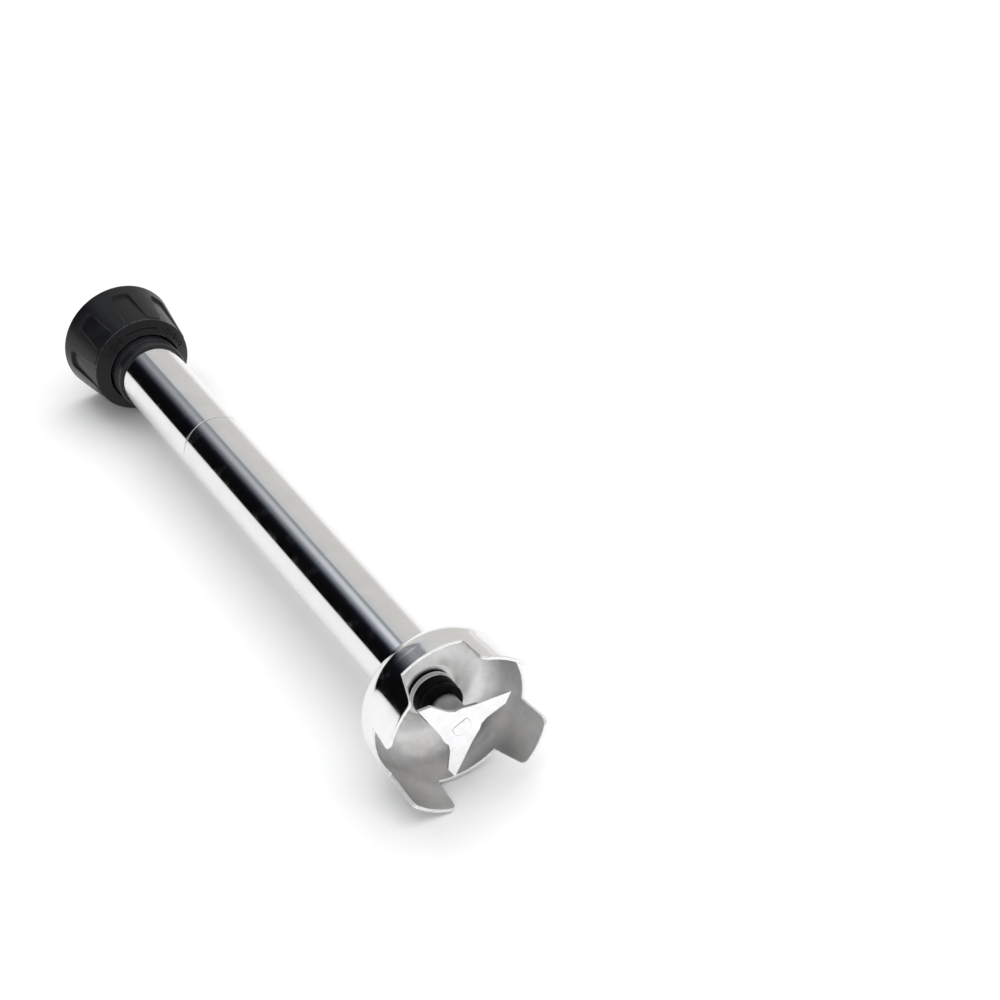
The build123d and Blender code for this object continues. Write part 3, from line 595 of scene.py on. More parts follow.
BRASS = Finish(
    "pressed brass", (0.70, 0.54, 0.28), (0.62, 0.47, 0.23), metallic=1.0, roughness=(0.26, 0.36),
    grain=0.4, edge=0.3, edge_colour=(0.9, 0.78, 0.5))
NYLON = Finish("natural nylon", (0.80, 0.78, 0.71), (0.74, 0.72, 0.64), roughness=(0.42, 0.52), grain=0.8)
BLACK_NYLON = replace(
    NYLON, name="black nylon", colour=(0.010, 0.010, 0.011), second=(0.016, 0.016, 0.017))
FLOOR_PAPER = Finish(
    "studio paper", (0.86, 0.86, 0.86), (0.84, 0.84, 0.84), roughness=(0.75, 0.85), grain=0.2,
    grain_scale=400.0, mottle_scale=3.0, specular=0.2)

SLOT_FINISH: dict[str, Finish] = {
    "collar_plastic": COLLAR_PLASTIC, "neck_plastic": NECK_PLASTIC, "polished_steel": TUBE_STEEL,
    "bell_steel": BELL_MIRROR, "blade_steel": BLADE_STEEL, "turned_steel": TURNED_STEEL,
    "bearing_steel": BEARING_STEEL, "spring_steel": SPRING_STEEL, "seal_plastic": BOSS_PLASTIC,
    "rubber": SEAL_RUBBER, "bronze": BRONZE, "nylon": NYLON, "cage_brass": BRASS,
}


# ------------------------------------------------------------------ the locking collar


@dataclass
class LockingCollar:
    """Black moulded collar: raised lands, flutes between them, and a marked conical face."""

    mouth_x: float = span("collar")[0]
    nose_x: float = span("collar")[1]
    lip_r: float = radius("collar")
    lip_round: float = 1.6
    land_slope: float = 0.132
    land_end_x: float = 30.8
    edge_x: float = 32.5
    edge_r: float = 28.8
    hole_r: float = 21.7
    flutes: int = 8
    flute_start_x: float = 4.5
    flute_start_r: float = 31.3
    flute_end_r: float = 29.0
    flute_half: tuple[float, float] = (5.4, 7.6)
    flute_end_x: float = 36.8
    flute_reach: tuple[float, float] = (33.0, 29.5)
    flute_corner: float = 2.4
    wall_margin_deg: float = 1.6
    land_corner: float = 3.0
    wall_step: float = 0.7
    seam_x: float = 31.6
    edge_round: float = 0.8
    mark_depth: float = 0.35
    mark_arc_r: float = 24.9
    mark_arc_deg: tuple[float, float] = (66.0, 111.0)
    mark_rows: tuple[tuple[float, float, int], ...] = ((118.0, 148.0, 4), (16.0, 60.0, 6))
    mark_stroke: float = 0.36
    mark_ring_r: float = 1.05
    mark_bar_gap: float = 0.62
    mark_bar_half: float = 0.85
    bore_r: float = 27.2
    bore_end_x: float = 27.7
    clip_x: tuple[float, float] = (17.9, 19.5)
    clip_r: float = 28.15
    seat_x: float = 15.5
    seat_r: float = 28.2
    recess_x: float = -0.5
    recess_r: float = 31.25
    soft: float = 0.1
    mouth_soft: float = 0.3
    face_back_x: float = 28.2
    pieces: list[bpy.types.Object] = field(default_factory=list)

    def land_radius(self, along: np.ndarray) -> np.ndarray:
        """Radius of the raised lands, falling evenly from the lip."""
        return self.lip_r - self.land_slope * (along - self.mouth_x - self.lip_round)

    def floor_radius(self, along: np.ndarray) -> np.ndarray:
        """Radius of the flutes' floor, falling evenly from the flutes' closed end."""
        slope = (self.flute_start_r - self.flute_end_r) / (self.land_end_x - self.flute_start_x)
        return self.flute_start_r - slope * (along - self.flute_start_x)

    def sunk(self, along: np.ndarray, across: np.ndarray) -> np.ndarray:
        """Share of the way down from the lands to the flutes' floor.

        A flute is a tapering slot with a rounded closed end, whose depth inside its outline is the distance
        to the nearest side. Past the lands' ends all is floor, and the lands' own corners are rounded.

        Args:
            along: places along the axis.
            across: distance round the surface from the nearest flute's middle.

        Returns:
            0 on a land and 1 on the floor, with a short smooth wall between.
        """
        taper = (self.flute_half[1] - self.flute_half[0]) / (self.flute_end_x - self.flute_start_x)
        half = self.flute_half[0] + taper * (along - self.flute_start_x)
        side = half - across
        end = along - self.flute_start_x
        corner = self.flute_corner
        in_corner = (side < corner) & (end < corner)
        rounded_end = corner - np.hypot(corner - side, corner - end)
        inside = np.where(in_corner, rounded_end, np.minimum(side, end))
        past = along - self.land_end_x
        tip = self.land_corner
        at_tip = (side > -tip) & (past > -tip)
        rounded_tip = np.hypot(np.maximum(side + tip, 0), np.maximum(past + tip, 0)) - tip
        beyond = np.where(at_tip, rounded_tip, np.maximum(side, past))
        reach = np.maximum(inside, np.where(along > self.flute_start_x + 2 * corner, beyond, inside))
        return smoothstep(reach, -0.15, self.wall_step)

    def bore(self) -> np.ndarray:
        """Inside of the shell, from the seam with the face back to the mouth, each corner cut a little.

        Returns:
            Points of the profile: the bore with the snap ring's groove, the seat and the mouth's recess.
        """
        seam_r = float(self.floor_radius(np.array(self.seam_x)))
        soft, (clip_start, clip_end) = self.soft, self.clip_x
        return np.array([
            (self.seam_x - 0.02, seam_r - 0.03), (self.seam_x - 0.02, seam_r - 0.6),
            (self.seam_x - 0.05, seam_r - 1.4),
            (self.bore_end_x, self.bore_r + soft), (self.bore_end_x - soft, self.bore_r),
            (clip_end, self.bore_r), (clip_end - soft / 2, self.clip_r),
            (clip_start + soft / 2, self.clip_r), (clip_start, self.bore_r),
            (self.seat_x + soft, self.bore_r), (self.seat_x, self.bore_r + soft),
            (self.seat_x, self.seat_r - soft), (self.seat_x - soft, self.seat_r),
            (self.recess_x + soft, self.seat_r), (self.recess_x, self.seat_r + soft),
            (self.recess_x, self.recess_r - soft), (self.recess_x - soft, self.recess_r),
            (self.mouth_x + self.mouth_soft, self.recess_r),
            (self.mouth_x, self.recess_r + self.mouth_soft)])

    def shell(self) -> bpy.types.Object:
        """Outside, mouth and bore, whose radius is the land's radius less the flute's share of the depth.

        Returns:
            The closed shell, up to the face.
        """
        outside_x = np.concatenate([
            np.linspace(self.mouth_x + self.lip_round, self.flute_start_x - 0.6, 6),
            np.linspace(self.flute_start_x - 0.3, self.flute_start_x + 3.0, 15),
            np.linspace(self.flute_start_x + 3.8, self.land_end_x - 4.2, 15),
            np.linspace(self.land_end_x - 3.6, self.seam_x - 0.05, 22)])
        lip_angle = np.radians(np.linspace(180, 90, 8, endpoint=False))
        lip = np.stack([self.mouth_x + self.lip_round + self.lip_round * np.cos(lip_angle),
                        self.lip_r - self.lip_round + self.lip_round * np.sin(lip_angle)], axis=1)
        outer = np.stack([outside_x, self.land_radius(outside_x)], axis=1)
        back = self.bore()
        profile = np.concatenate([lip, outer, back])
        period = 360.0 / self.flutes
        wall_deg = np.degrees(np.array(self.flute_half) / np.array(self.flute_reach))
        start_deg, end_deg = wall_deg[0] - self.wall_margin_deg, wall_deg[1] + self.wall_margin_deg
        share = np.concatenate([np.linspace(0, start_deg, 5, endpoint=False),
                                np.linspace(start_deg, end_deg, 30, endpoint=False),
                                np.linspace(end_deg, period / 2, 5)])
        sector = np.concatenate([-share[:0:-1], share[:-1]])
        angle = np.concatenate([sector + period * k for k in range(self.flutes)])
        along, degrees = np.meshgrid(profile[:, 0], angle, indexing="ij")
        reach = np.repeat(profile[:, 1:], len(angle), axis=1)
        off = np.abs((degrees + period / 2) % period - period / 2)
        floor = self.floor_radius(along)
        across = reach * np.sin(np.radians(off))
        carved = reach - (reach - floor) * self.sunk(along, across)
        rows = np.zeros(len(profile), bool)
        rows[len(lip):len(lip) + len(outer)] = True
        reach = np.where(rows[:, None], np.where(reach > floor, carved, reach), reach)
        return make_round_piece("collar_shell", along, reach, degrees, Body.COLLAR,
                                ["collar"])

    def mark(self, degrees: np.ndarray, reach: np.ndarray) -> np.ndarray:
        """Depth share of the engraved marks: an arc between a short and a long row of plain rings and bars.

        Args:
            degrees: angles round the axis.
            reach: radii.

        Returns:
            1 in the middle of a stroke and 0 off the marks.
        """
        def stroke(distance: np.ndarray) -> np.ndarray:
            """Depth share at a distance from the middle of a stroke."""
            return 1.0 - smoothstep(distance, 0.35 * self.mark_stroke, 1.25 * self.mark_stroke)

        low, high = self.mark_arc_deg
        per = np.radians(1)
        away = reach - self.mark_arc_r
        outside = np.maximum(np.maximum(low - degrees, degrees - high), 0) * per * self.mark_arc_r
        depth = stroke(np.hypot(outside, away))
        for start, end, count in self.mark_rows:
            for index in range(count):
                middle = start + (index + 0.5) * (end - start) / count
                across = (degrees - middle) * per * self.mark_arc_r
                ring = np.abs(np.hypot(across, away * 0.9) - self.mark_ring_r)
                bar = np.hypot(np.abs(across) - self.mark_bar_gap,
                               np.maximum(np.abs(away) - self.mark_bar_half, 0))
                depth = np.maximum(depth, stroke(ring if index % 2 == 0 else bar))
        return depth

    def face(self) -> bpy.types.Object:
        """Conical face ring: rings of radii by angles, sunk along the cone's normal where a mark runs.

        Returns:
            The closed ring between the shell's edge and the hole.
        """
        normal = np.array([self.edge_r - self.hole_r, self.nose_x - self.edge_x])
        normal = normal / np.linalg.norm(normal)
        edge_r = float(self.floor_radius(np.array(self.edge_x)))
        seam_r = float(self.floor_radius(np.array(self.seam_x)))
        end = (self.nose_x - 0.05, self.hole_r + 0.35)
        corner = rounded([(self.seam_x, seam_r - 0.8), (self.seam_x, seam_r), (self.edge_x, edge_r), end],
                         {1: 0.03, 2: self.edge_round}, steps=7, closed=False)[:-1]
        rows = np.concatenate([np.linspace(0.02, 0.94, 52), [0.97, 0.985]])
        front = np.concatenate([corner, corner[-1] + (np.array(end) - corner[-1]) * rows[:, None]])
        hole = rounded([end, (self.nose_x, self.hole_r), (self.face_back_x, self.hole_r),
                        (self.face_back_x, seam_r - 1.5), (self.seam_x, seam_r - 1.2)], {1: 0.35},
                       closed=False)
        profile = np.concatenate([front, hole[1:]])
        angle = np.concatenate([np.arange(8.0, 156.0, 0.3), np.arange(156.0, 368.0, 1.5)])
        reach = np.repeat(profile[:, 1:], len(angle), axis=1)
        along = np.repeat(profile[:, :1], len(angle), axis=1)
        depth = self.mark(np.broadcast_to(angle, reach.shape), reach) * self.mark_depth
        depth[len(front):] = 0
        depth[:len(corner)] = 0
        reach = reach - depth * normal[1]
        along = along - depth * normal[0]
        face = make_round_piece("collar_face", along, reach, angle[None, :], Body.COLLAR)
        # The engraved share goes on the points and drives the painted shade in the strokes.
        mark_shade_mask = face.data.attributes.new(ENGRAVED, "FLOAT", "POINT")
        mark_shade_mask.data.foreach_set("value", (depth / self.mark_depth).ravel().astype(np.float32))
        return face

    def build(self) -> None:
        """Make the shell and the face, and dress them."""
        self.pieces = [self.shell(), self.face()]
        COLLAR_PLASTIC.dress(self.pieces[0])
        MARKED_PLASTIC.dress(self.pieces[1])


# ------------------------------------------------------------------ neck and tubes


BELL_ROOF = span("bell")[0] + 2.2


@dataclass
class Neck:
    """Glossy moulded neck with the motor socket behind it and the upper bearing's seat inside."""

    end_x: float = 48.2
    neck_r: float = 20.6
    groove_x: float = 41.4
    groove_half: float = 0.45
    groove_depth: float = 0.4
    flange_r: float = radius("neck_housing")
    flange_x: tuple[float, float] = (20.0, 26.0)
    recess_deg: tuple[float, float] = (243.4, 296.6)
    recess_r: float = 25.0
    socket_r: float = 19.0
    socket_depth: float = 14.0
    spigot_r: float = 22.0
    ring_groove_x: tuple[float, float] = (5.0, 7.4)
    ring_groove_r: float = 20.8
    plug_r: float = 17.7
    bearing_x: float = 50.0
    bearing_r: float = 13.0
    clip_x: tuple[float, float] = (58.0, 59.4)
    clip_r: float = 13.9
    passage_r: float = 11.2
    pieces: list[bpy.types.Object] = field(default_factory=list)

    def outline(self) -> list[Point]:
        """Corners of the wall, from the socket's mouth over the outside and back through the bore.

        Returns:
            The corners, as (place along the axis, radius).
        """
        inner_end = span("neck_housing")[1]
        (ring_start, ring_end), (flange_start, flange_end) = self.ring_groove_x, self.flange_x
        (clip_start, clip_end), groove = self.clip_x, self.groove_x
        return [
            (0, self.socket_r), (0, self.spigot_r), (ring_start, self.spigot_r),
            (ring_start, self.ring_groove_r), (ring_end, self.ring_groove_r), (ring_end, self.spigot_r),
            (flange_start, self.spigot_r), (flange_start, self.flange_r), (flange_end, self.flange_r),
            (flange_end, self.neck_r), (groove - self.groove_half, self.neck_r),
            (groove, self.neck_r - self.groove_depth), (groove + self.groove_half, self.neck_r),
            (self.end_x, self.neck_r), (self.end_x, self.plug_r), (inner_end, self.plug_r),
            (inner_end, self.bearing_r), (clip_end, self.bearing_r), (clip_end, self.clip_r),
            (clip_start, self.clip_r), (clip_start, self.bearing_r), (self.bearing_x, self.bearing_r),
            (self.bearing_x, self.passage_r), (self.socket_depth, self.passage_r),
            (self.socket_depth, self.socket_r)]

    def build(self) -> None:
        """Make the housing by turning its wall's outline, with the stop recess in its flange."""
        soft = {0: 0.3, 1: 0.4, 7: 0.4, 8: 0.4, 10: 0.15, 11: 0.1, 12: 0.15, 13: 2.2, 24: 0.3}
        profile = dense(rounded(self.outline(), soft, steps=6), 3.0)

        def recess(reach: np.ndarray, degrees: np.ndarray) -> np.ndarray:
            """Cut the flange back to the recess's floor between the recess's ends."""
            inside = (degrees > self.recess_deg[0]) & (degrees < self.recess_deg[1])
            return np.where(inside & (reach > self.spigot_r + 0.5), self.recess_r, reach)

        self.pieces = [turned("neck_moulding", profile, Body.FRAME, ["neck_housing"], 256,
                              recess)]
        NECK_PLASTIC.dress(*self.pieces)


@dataclass
class Tubes:
    """The two polished tubes, chamfered at their seam, and the bead that joins the lower one to the bell."""

    outer_r: float = radius("lower_tube")
    wall: float = 1.2
    seam_chamfer: float = 0.35
    end_soft: float = 0.12
    bead_leg: float = 2.1
    bead_gap: float = 0.02
    bead_sunk: float = 0.4
    pieces: list[bpy.types.Object] = field(default_factory=list)

    def build(self) -> None:
        """Make both tubes and the weld bead, and dress them."""
        inner = self.outer_r - self.wall
        for node, seam_corner in (("upper_tube", 2), ("lower_tube", 1)):
            start, end = span(node)
            outline = [(start, inner), (start, self.outer_r), (end, self.outer_r), (end, inner)]
            soft = {seam_corner: self.seam_chamfer, 3 - seam_corner: self.end_soft}
            profile = dense(rounded(outline, soft, steps=4), 6.0)
            self.pieces.append(turned(node.replace("tube", "polished_tube"), profile, Body.FRAME,
                                      [node], 288))
        leg, foot = self.bead_leg, self.outer_r + self.bead_gap
        arc = np.radians(np.linspace(0, 90, 9))
        hollow = np.stack([BELL_ROOF - leg * np.cos(arc), foot + leg * (1 - np.cos(arc))], axis=1)
        back = BELL_ROOF + self.bead_sunk
        profile = np.concatenate([hollow, [(back, self.outer_r + leg), (back, foot)]])
        bead = turned("weld_bead", profile, Body.FRAME)
        TUBE_STEEL.dress(*self.pieces)
        BELL_MIRROR.dress(bead)
        self.pieces.append(bead)


# ------------------------------------------------------------------ the bell


@dataclass
class Bell:
    """Deep-drawn bell: mirror outside, blasted inside, with four legs between notches."""

    roof_x: float = BELL_ROOF
    tip_x: float = span("bell")[1]
    hole_r: float = 20.2
    shoulder_r: float = 18.1
    skirt_x: float = 397.9
    skirt_r: float = 42.0
    tip_r: float = 45.2
    flare: float = 1.15
    notch_x: float = 406.5
    wall: float = 1.9
    legs: int = 4
    leg_centre: float = 62.0
    leg_base: tuple[float, float] = (-25.5, 17.4)
    leg_tip: tuple[float, float] = (-17.8, 17.6)
    corner: float = 4.0
    rim_round: float = 0.45
    columns: int = 120
    notch_columns: int = 24
    waist: float = 1.2
    rows: int = 26
    round_rows: int = 4
    pieces: list[bpy.types.Object] = field(default_factory=list)

    def wall_line(self) -> np.ndarray:
        """The outer skin's profile: flat roof, quarter round shoulder, and a skirt whose rise grows with a
        power of the way to the tips.

        Returns:
            Rows of length along the profile, place along the axis, radius, and the outward normal's two
            parts, which turn straight outward on the skirt.
        """
        arc = np.radians(np.linspace(0, 90, 90, endpoint=False))
        roof = np.linspace(self.hole_r, self.skirt_r - self.shoulder_r, 12, endpoint=False)
        skirt = np.linspace(0, 1, 160)
        along = np.concatenate([np.full(len(roof), self.roof_x),
                                self.skirt_x - self.shoulder_r * np.cos(arc),
                                self.skirt_x + (self.tip_x - self.skirt_x) * skirt])
        reach = np.concatenate([roof, self.skirt_r - self.shoulder_r + self.shoulder_r * np.sin(arc),
                                self.skirt_r + (self.tip_r - self.skirt_r) * skirt ** self.flare])
        length = np.concatenate([[0], np.cumsum(np.hypot(np.diff(along), np.diff(reach)))])
        slope = np.stack([np.gradient(along, length), np.gradient(reach, length)], axis=1)
        slope = slope / np.linalg.norm(slope, axis=1)[:, None]
        tilt = -slope[:, 1] * (1 - smoothstep(along, self.skirt_x - 6, self.notch_x))
        return np.column_stack([length, along, reach, tilt, np.sqrt(1 - tilt ** 2)])

    def rim(self) -> tuple[np.ndarray, np.ndarray]:
        """One period of the rim, laid flat as (arc length round, place along the axis), in even steps.

        Returns:
            Points from one leg's left foot, round its tip and down, and along the notch to the next leg, and
            the direction out of the metal at each, lengthened at corners so that an offset keeps its sides
            parallel.
        """
        left, right = self.leg_base
        per = self.per_degree
        quarter = 360.0 / self.legs
        corners = [(left * per, self.notch_x), (self.leg_tip[0] * per, self.tip_x),
                   (self.leg_tip[1] * per, self.tip_x), (right * per, self.notch_x),
                   ((left + quarter) * per, self.notch_x)]
        line = rounded(corners, {1: self.corner, 2: self.corner}, steps=8, closed=False)
        foot = int(np.argmin(np.hypot(line[:, 0] - right * per, line[:, 1] - self.notch_x)))
        around = self.even(line[:foot + 1], self.columns - self.notch_columns)
        notch = self.even(line[foot:], self.notch_columns)
        points = np.concatenate([around[:-1], notch[:-1]])
        period = np.array([quarter * per, 0])
        before = points - np.concatenate([points[-1:] - period, points[:-1]])
        after = np.concatenate([points[1:], points[:1] + period]) - points
        sides = [np.stack([-step[:, 1], step[:, 0]], axis=1) / np.linalg.norm(step, axis=1)[:, None]
                 for step in (before, after)]
        miter = sides[0] + sides[1]
        return points, 2 * miter / np.sum(miter * miter, axis=1)[:, None]

    @property
    def per_degree(self) -> float:
        """Millimetres round the skirt for each degree."""
        return math.radians(self.tip_r)

    @staticmethod
    def even(line: np.ndarray, parts: int) -> np.ndarray:
        """Points at even steps along a polyline.

        Args:
            line: the polyline's points.
            parts: how many steps.

        Returns:
            The points, both ends included.
        """
        steps = np.concatenate([[0], np.cumsum(np.hypot(*np.diff(line, axis=0).T))])
        wanted = np.linspace(0, steps[-1], parts + 1)
        return np.stack([np.interp(wanted, steps, line[:, k]) for k in range(2)], axis=1)

    def rows_of(self, rim: np.ndarray, miter: np.ndarray) -> list[tuple[np.ndarray, np.ndarray, float]]:
        """Rows of (degrees, length along the profile, depth under the skin) from the hole out over the
        skin, round the rim's two small rounds, and back along the inside.

        Args:
            rim: the rim's points, laid flat.
            miter: the direction out of the metal at each.

        Returns:
            The rows, in order.
        """
        line = self.wall_line()
        period = 360.0 / self.legs
        even_deg = self.leg_base[0] + period * np.arange(len(rim)) / len(rim)
        across = self.columns - self.notch_columns
        leg_deg = np.linspace(*self.leg_base, across, endpoint=False)
        waist_deg = np.concatenate([leg_deg, rim[across:, 0] / self.per_degree])
        ring_deg = 0.5 * even_deg + 0.5 * waist_deg
        waist_x = self.notch_x - self.waist
        shoulder_end, waist_length = np.interp([self.skirt_x, waist_x], line[:, 1], line[:, 0])

        def outline(inset: float) -> tuple[np.ndarray, np.ndarray]:
            """Degrees and length along the profile of the rim's outline, moved into the metal."""
            flat = rim - miter * inset
            return flat[:, 0] / self.per_degree, np.interp(flat[:, 1], line[:, 1], line[:, 0])

        edge_deg, edge_length = outline(self.rim_round)
        roof = np.linspace(0, self.skirt_r - self.shoulder_r - self.hole_r, 4, endpoint=False)
        shoulder = np.linspace(self.skirt_r - self.shoulder_r - self.hole_r, shoulder_end, 30)
        rows = [(ring_deg, np.full(len(rim), length), 0.0) for length in np.concatenate([roof, shoulder])]
        for share in smoothstep(np.linspace(0, 1, self.rows // 2), 0, 1)[1:]:
            length = shoulder_end + (waist_length - shoulder_end) * share
            rows.append((ring_deg + (waist_deg - ring_deg) * share, np.full(len(rim), length), 0.0))
        for share in np.linspace(0, 1, self.rows)[1:]:
            degrees = waist_deg + (edge_deg - waist_deg) * share
            rows.append((degrees, waist_length + (edge_length - waist_length) * share, 0.0))
        back = [(degrees, length, self.wall) for degrees, length, _ in rows[::-1]]
        arc = np.radians(np.linspace(0, 90, self.round_rows + 1))[1:]
        rounds = [(*outline(self.rim_round * (1 - math.sin(angle))), self.rim_round * (1 - math.cos(angle)))
                  for angle in arc]
        under = [(degrees, length, self.wall - depth) for degrees, length, depth in rounds[::-1]]
        return rows + rounds + under + back

    def build(self) -> None:
        """Make the bell as one closed grid of rows by columns, and dress its skin, inside and rim."""
        rows = self.rows_of(*self.rim())
        line = self.wall_line()
        period = 360.0 / self.legs
        turns = range(self.legs)
        degrees = np.array([np.concatenate([row[0] + period * k for k in turns]) for row in rows])
        length = np.array([np.tile(row[1], self.legs) for row in rows])
        depth = np.array([row[2] for row in rows])[:, None]
        along, reach, normal_x, normal_r = (np.interp(length, line[:, 0], line[:, k]) for k in range(1, 5))
        bell = make_round_piece("bell_shell", along - depth * normal_x, reach - depth * normal_r,
                                degrees + self.leg_centre, Body.FRAME, ["bell"])
        for finish in (BELL_MIRROR, BELL_BLASTED, BELL_RIM):
            bell.data.materials.append(finish.build())
        mirror, blasted, ground = range(3)
        band = np.arange(len(rows))
        rim_rows = 2 * self.round_rows
        skin_rows = (len(rows) - rim_rows) // 2
        finish_of = np.where(band < skin_rows - 1, mirror,
                             np.where(band < skin_rows + rim_rows, ground, blasted))
        finish_of[-1] = blasted
        each_face = np.repeat(finish_of, degrees.shape[1]).astype(np.int32)
        bell.data.polygons.foreach_set("material_index", each_face)
        self.pieces = [bell]


# ------------------------------------------------------------------ housing, boss and rotor


@dataclass
class BladeEnd:
    """Bearing housing, black boss with its band, hub and shaft that show inside the bell."""

    nose_x: float = span("bearing_housing")[1]
    nose_r: float = 14.3
    fairing_r: float = 22.6
    lip_r: float = 11.65
    lip_depth: float = 0.7
    boss_r: float = 11.6
    neck_r: float = 11.2
    band_x: tuple[float, float] = span("boss_band")
    band_r: float = radius("boss_band")
    hub_start_x: float = span("blade_hub")[0]
    hub_end_x: float = span("blade_hub")[1]
    hub_r: float = radius("blade_hub")
    shaft_r: float = 4.98
    flat: float = 3.0
    flat_deg: float = 116.6
    floor_x: float = BELL_ROOF + 1.95
    floor_sunk: float = 0.1
    plug_r: float = 17.7
    flange_r: float = 20.6
    bearing_x: float = 354.0
    bearing_r: float = 13.0
    clip_x: tuple[float, float] = (362.0, 363.4)
    clip_r: float = 13.9
    passage_r: float = 11.2
    boss_base_r: float = 12.9
    boss_bore_r: float = 5.05
    ring_groove_x: tuple[float, float] = (380.0, 382.2)
    ring_groove_r: float = 11.4
    crease_back: float = 3.9
    crease_half: float = 0.25
    shaft_clip: float = 1.4
    shaft_clip_r: float = 4.5
    pieces: list[bpy.types.Object] = field(default_factory=list)

    def housing(self) -> bpy.types.Object:
        """Steel housing, turned from its wall's outline, with a hollow cone between flange and nose.

        Returns:
            The housing.
        """
        start = span("bearing_housing")[0]
        edge = self.floor_x - self.floor_sunk
        share = np.linspace(0, 1, 14)
        fairing = np.stack([edge + (self.nose_x - edge) * share ** 2,
                            self.fairing_r + (self.nose_r - self.fairing_r) * share], axis=1)
        lip_x, (clip_start, clip_end) = self.nose_x - self.lip_depth, self.clip_x
        back = [(start, self.passage_r), (start, self.plug_r), (self.floor_x, self.plug_r),
                (self.floor_x, self.flange_r), (edge - self.floor_sunk, self.flange_r + 0.1)]
        nose = [(self.nose_x, self.lip_r), (lip_x, self.lip_r), (lip_x, self.bearing_r),
                (clip_end, self.bearing_r), (clip_end, self.clip_r), (clip_start, self.clip_r),
                (clip_start, self.bearing_r), (self.bearing_x, self.bearing_r),
                (self.bearing_x, self.passage_r)]
        corner = len(back) + len(fairing)
        outline = [*back, *map(tuple, fairing), *nose]
        profile = dense(rounded(outline, {corner - 1: 1.2, corner: 0.25}, steps=8), 4.0)
        return turned("bearing_nose", profile, Body.FRAME, ["bearing_housing"], 160)

    def boss(self) -> bpy.types.Object:
        """Black boss with a well-rounded end and a fine crease behind it.

        Returns:
            The boss.
        """
        start, end = span("seal_boss")
        head = self.band_x[1] + 0.05
        step = self.nose_x - self.lip_depth - 0.1
        crease, half, front_r = end - self.crease_back, self.crease_half, self.boss_r - 0.05
        ring_start, ring_end = self.ring_groove_x
        outline = [(start, self.boss_bore_r), (start, self.boss_base_r), (ring_start, self.boss_base_r),
                   (ring_start, self.ring_groove_r), (ring_end, self.ring_groove_r),
                   (ring_end, self.boss_base_r), (step, self.boss_base_r), (step, self.neck_r),
                   (head, self.neck_r), (head, self.boss_r), (crease - half, self.boss_r),
                   (crease, self.boss_r - 0.2), (crease + half, front_r), (end, front_r),
                   (end, self.boss_bore_r)]
        profile = dense(rounded(outline, {6: 0.3, 9: 0.25, 13: 3.3, 14: 0.3}, steps=10), 2.0)
        return turned("shaft_boss", profile, Body.FRAME, ["seal_boss"], 160)

    def band(self) -> bpy.types.Object:
        """Bright steel band on the boss's neck, softened at its front edge.

        Returns:
            The band.
        """
        inner = self.neck_r + 0.05
        (start, end), reach = self.band_x, self.band_r
        outline = [(start, inner), (start, reach), (end, reach), (end, inner)]
        profile = dense(rounded(outline, {1: 0.15, 2: 0.4}, steps=6), 1.0)
        return turned("steel_band", profile, Body.FRAME, ["boss_band"], 160)

    def hub(self) -> bpy.types.Object:
        """Grey hub between the boss and the blade.

        Returns:
            The hub.
        """
        outline = [(self.hub_start_x, 5.0), (self.hub_start_x, self.hub_r), (self.hub_end_x, self.hub_r),
                   (self.hub_end_x, 5.0)]
        profile = dense(rounded(outline, {1: 0.5, 2: 0.4}, steps=5), 2.0)
        return turned("turned_hub", profile, Body.ROTOR, ["blade_hub"], 128)

    def shaft(self) -> bpy.types.Object:
        """Long shaft, whose end in the blade has a flat: the radius is cut to the flat's line there.

        Returns:
            The shaft.
        """
        start, end = span("drive_shaft")
        flat_start = self.hub_end_x - 0.02
        rings = (0.02, 0.05, 0.12, 0.4, 1.2, 2.4)
        outline = [(start, ring) for ring in rings] + [(start, self.shaft_r)]
        for node in ("upper_bearing_outer", "lower_bearing_outer"):
            for groove in (span(node)[0] - self.shaft_clip, span(node)[1]):
                outline += [(groove, self.shaft_r), (groove, self.shaft_clip_r),
                            (groove + self.shaft_clip, self.shaft_clip_r),
                            (groove + self.shaft_clip, self.shaft_r)]
        outline += [(flat_start, self.shaft_r), (flat_start + 0.04, self.shaft_r), (end, self.shaft_r)]
        corner = {len(rings): 0.4, len(outline) - 1: 0.25}
        outline += [(end, ring) for ring in rings[::-1]]
        profile = dense(rounded(outline, corner, steps=4), 9.0)

        def flatten(reach: np.ndarray, degrees: np.ndarray) -> np.ndarray:
            """Cut the radii to the flat's line on the end that goes through the blade.

            Args:
                reach: the radii.
                degrees: angles round the axis.

            Returns:
                The radii with the flat.
            """
            away = np.cos(np.radians(degrees - self.flat_deg))
            cut = np.where(away > 0, self.flat / np.maximum(away, 1e-6), reach)
            return np.where(profile[:, :1] > flat_start + 0.02, np.minimum(reach, cut), reach)

        return turned("long_shaft", profile, Body.ROTOR, ["drive_shaft"], 144, flatten)

    def build(self) -> None:
        """Make and dress the housing, the boss, its band, the hub and the shaft."""
        dressed = ((self.housing(), BELL_BLASTED), (self.boss(), BOSS_PLASTIC), (self.band(), HOUSING_STEEL),
                   (self.hub(), TURNED_STEEL), (self.shaft(), SHAFT_STEEL))
        for piece, finish in dressed:
            finish.dress(piece)
            self.pieces.append(piece)


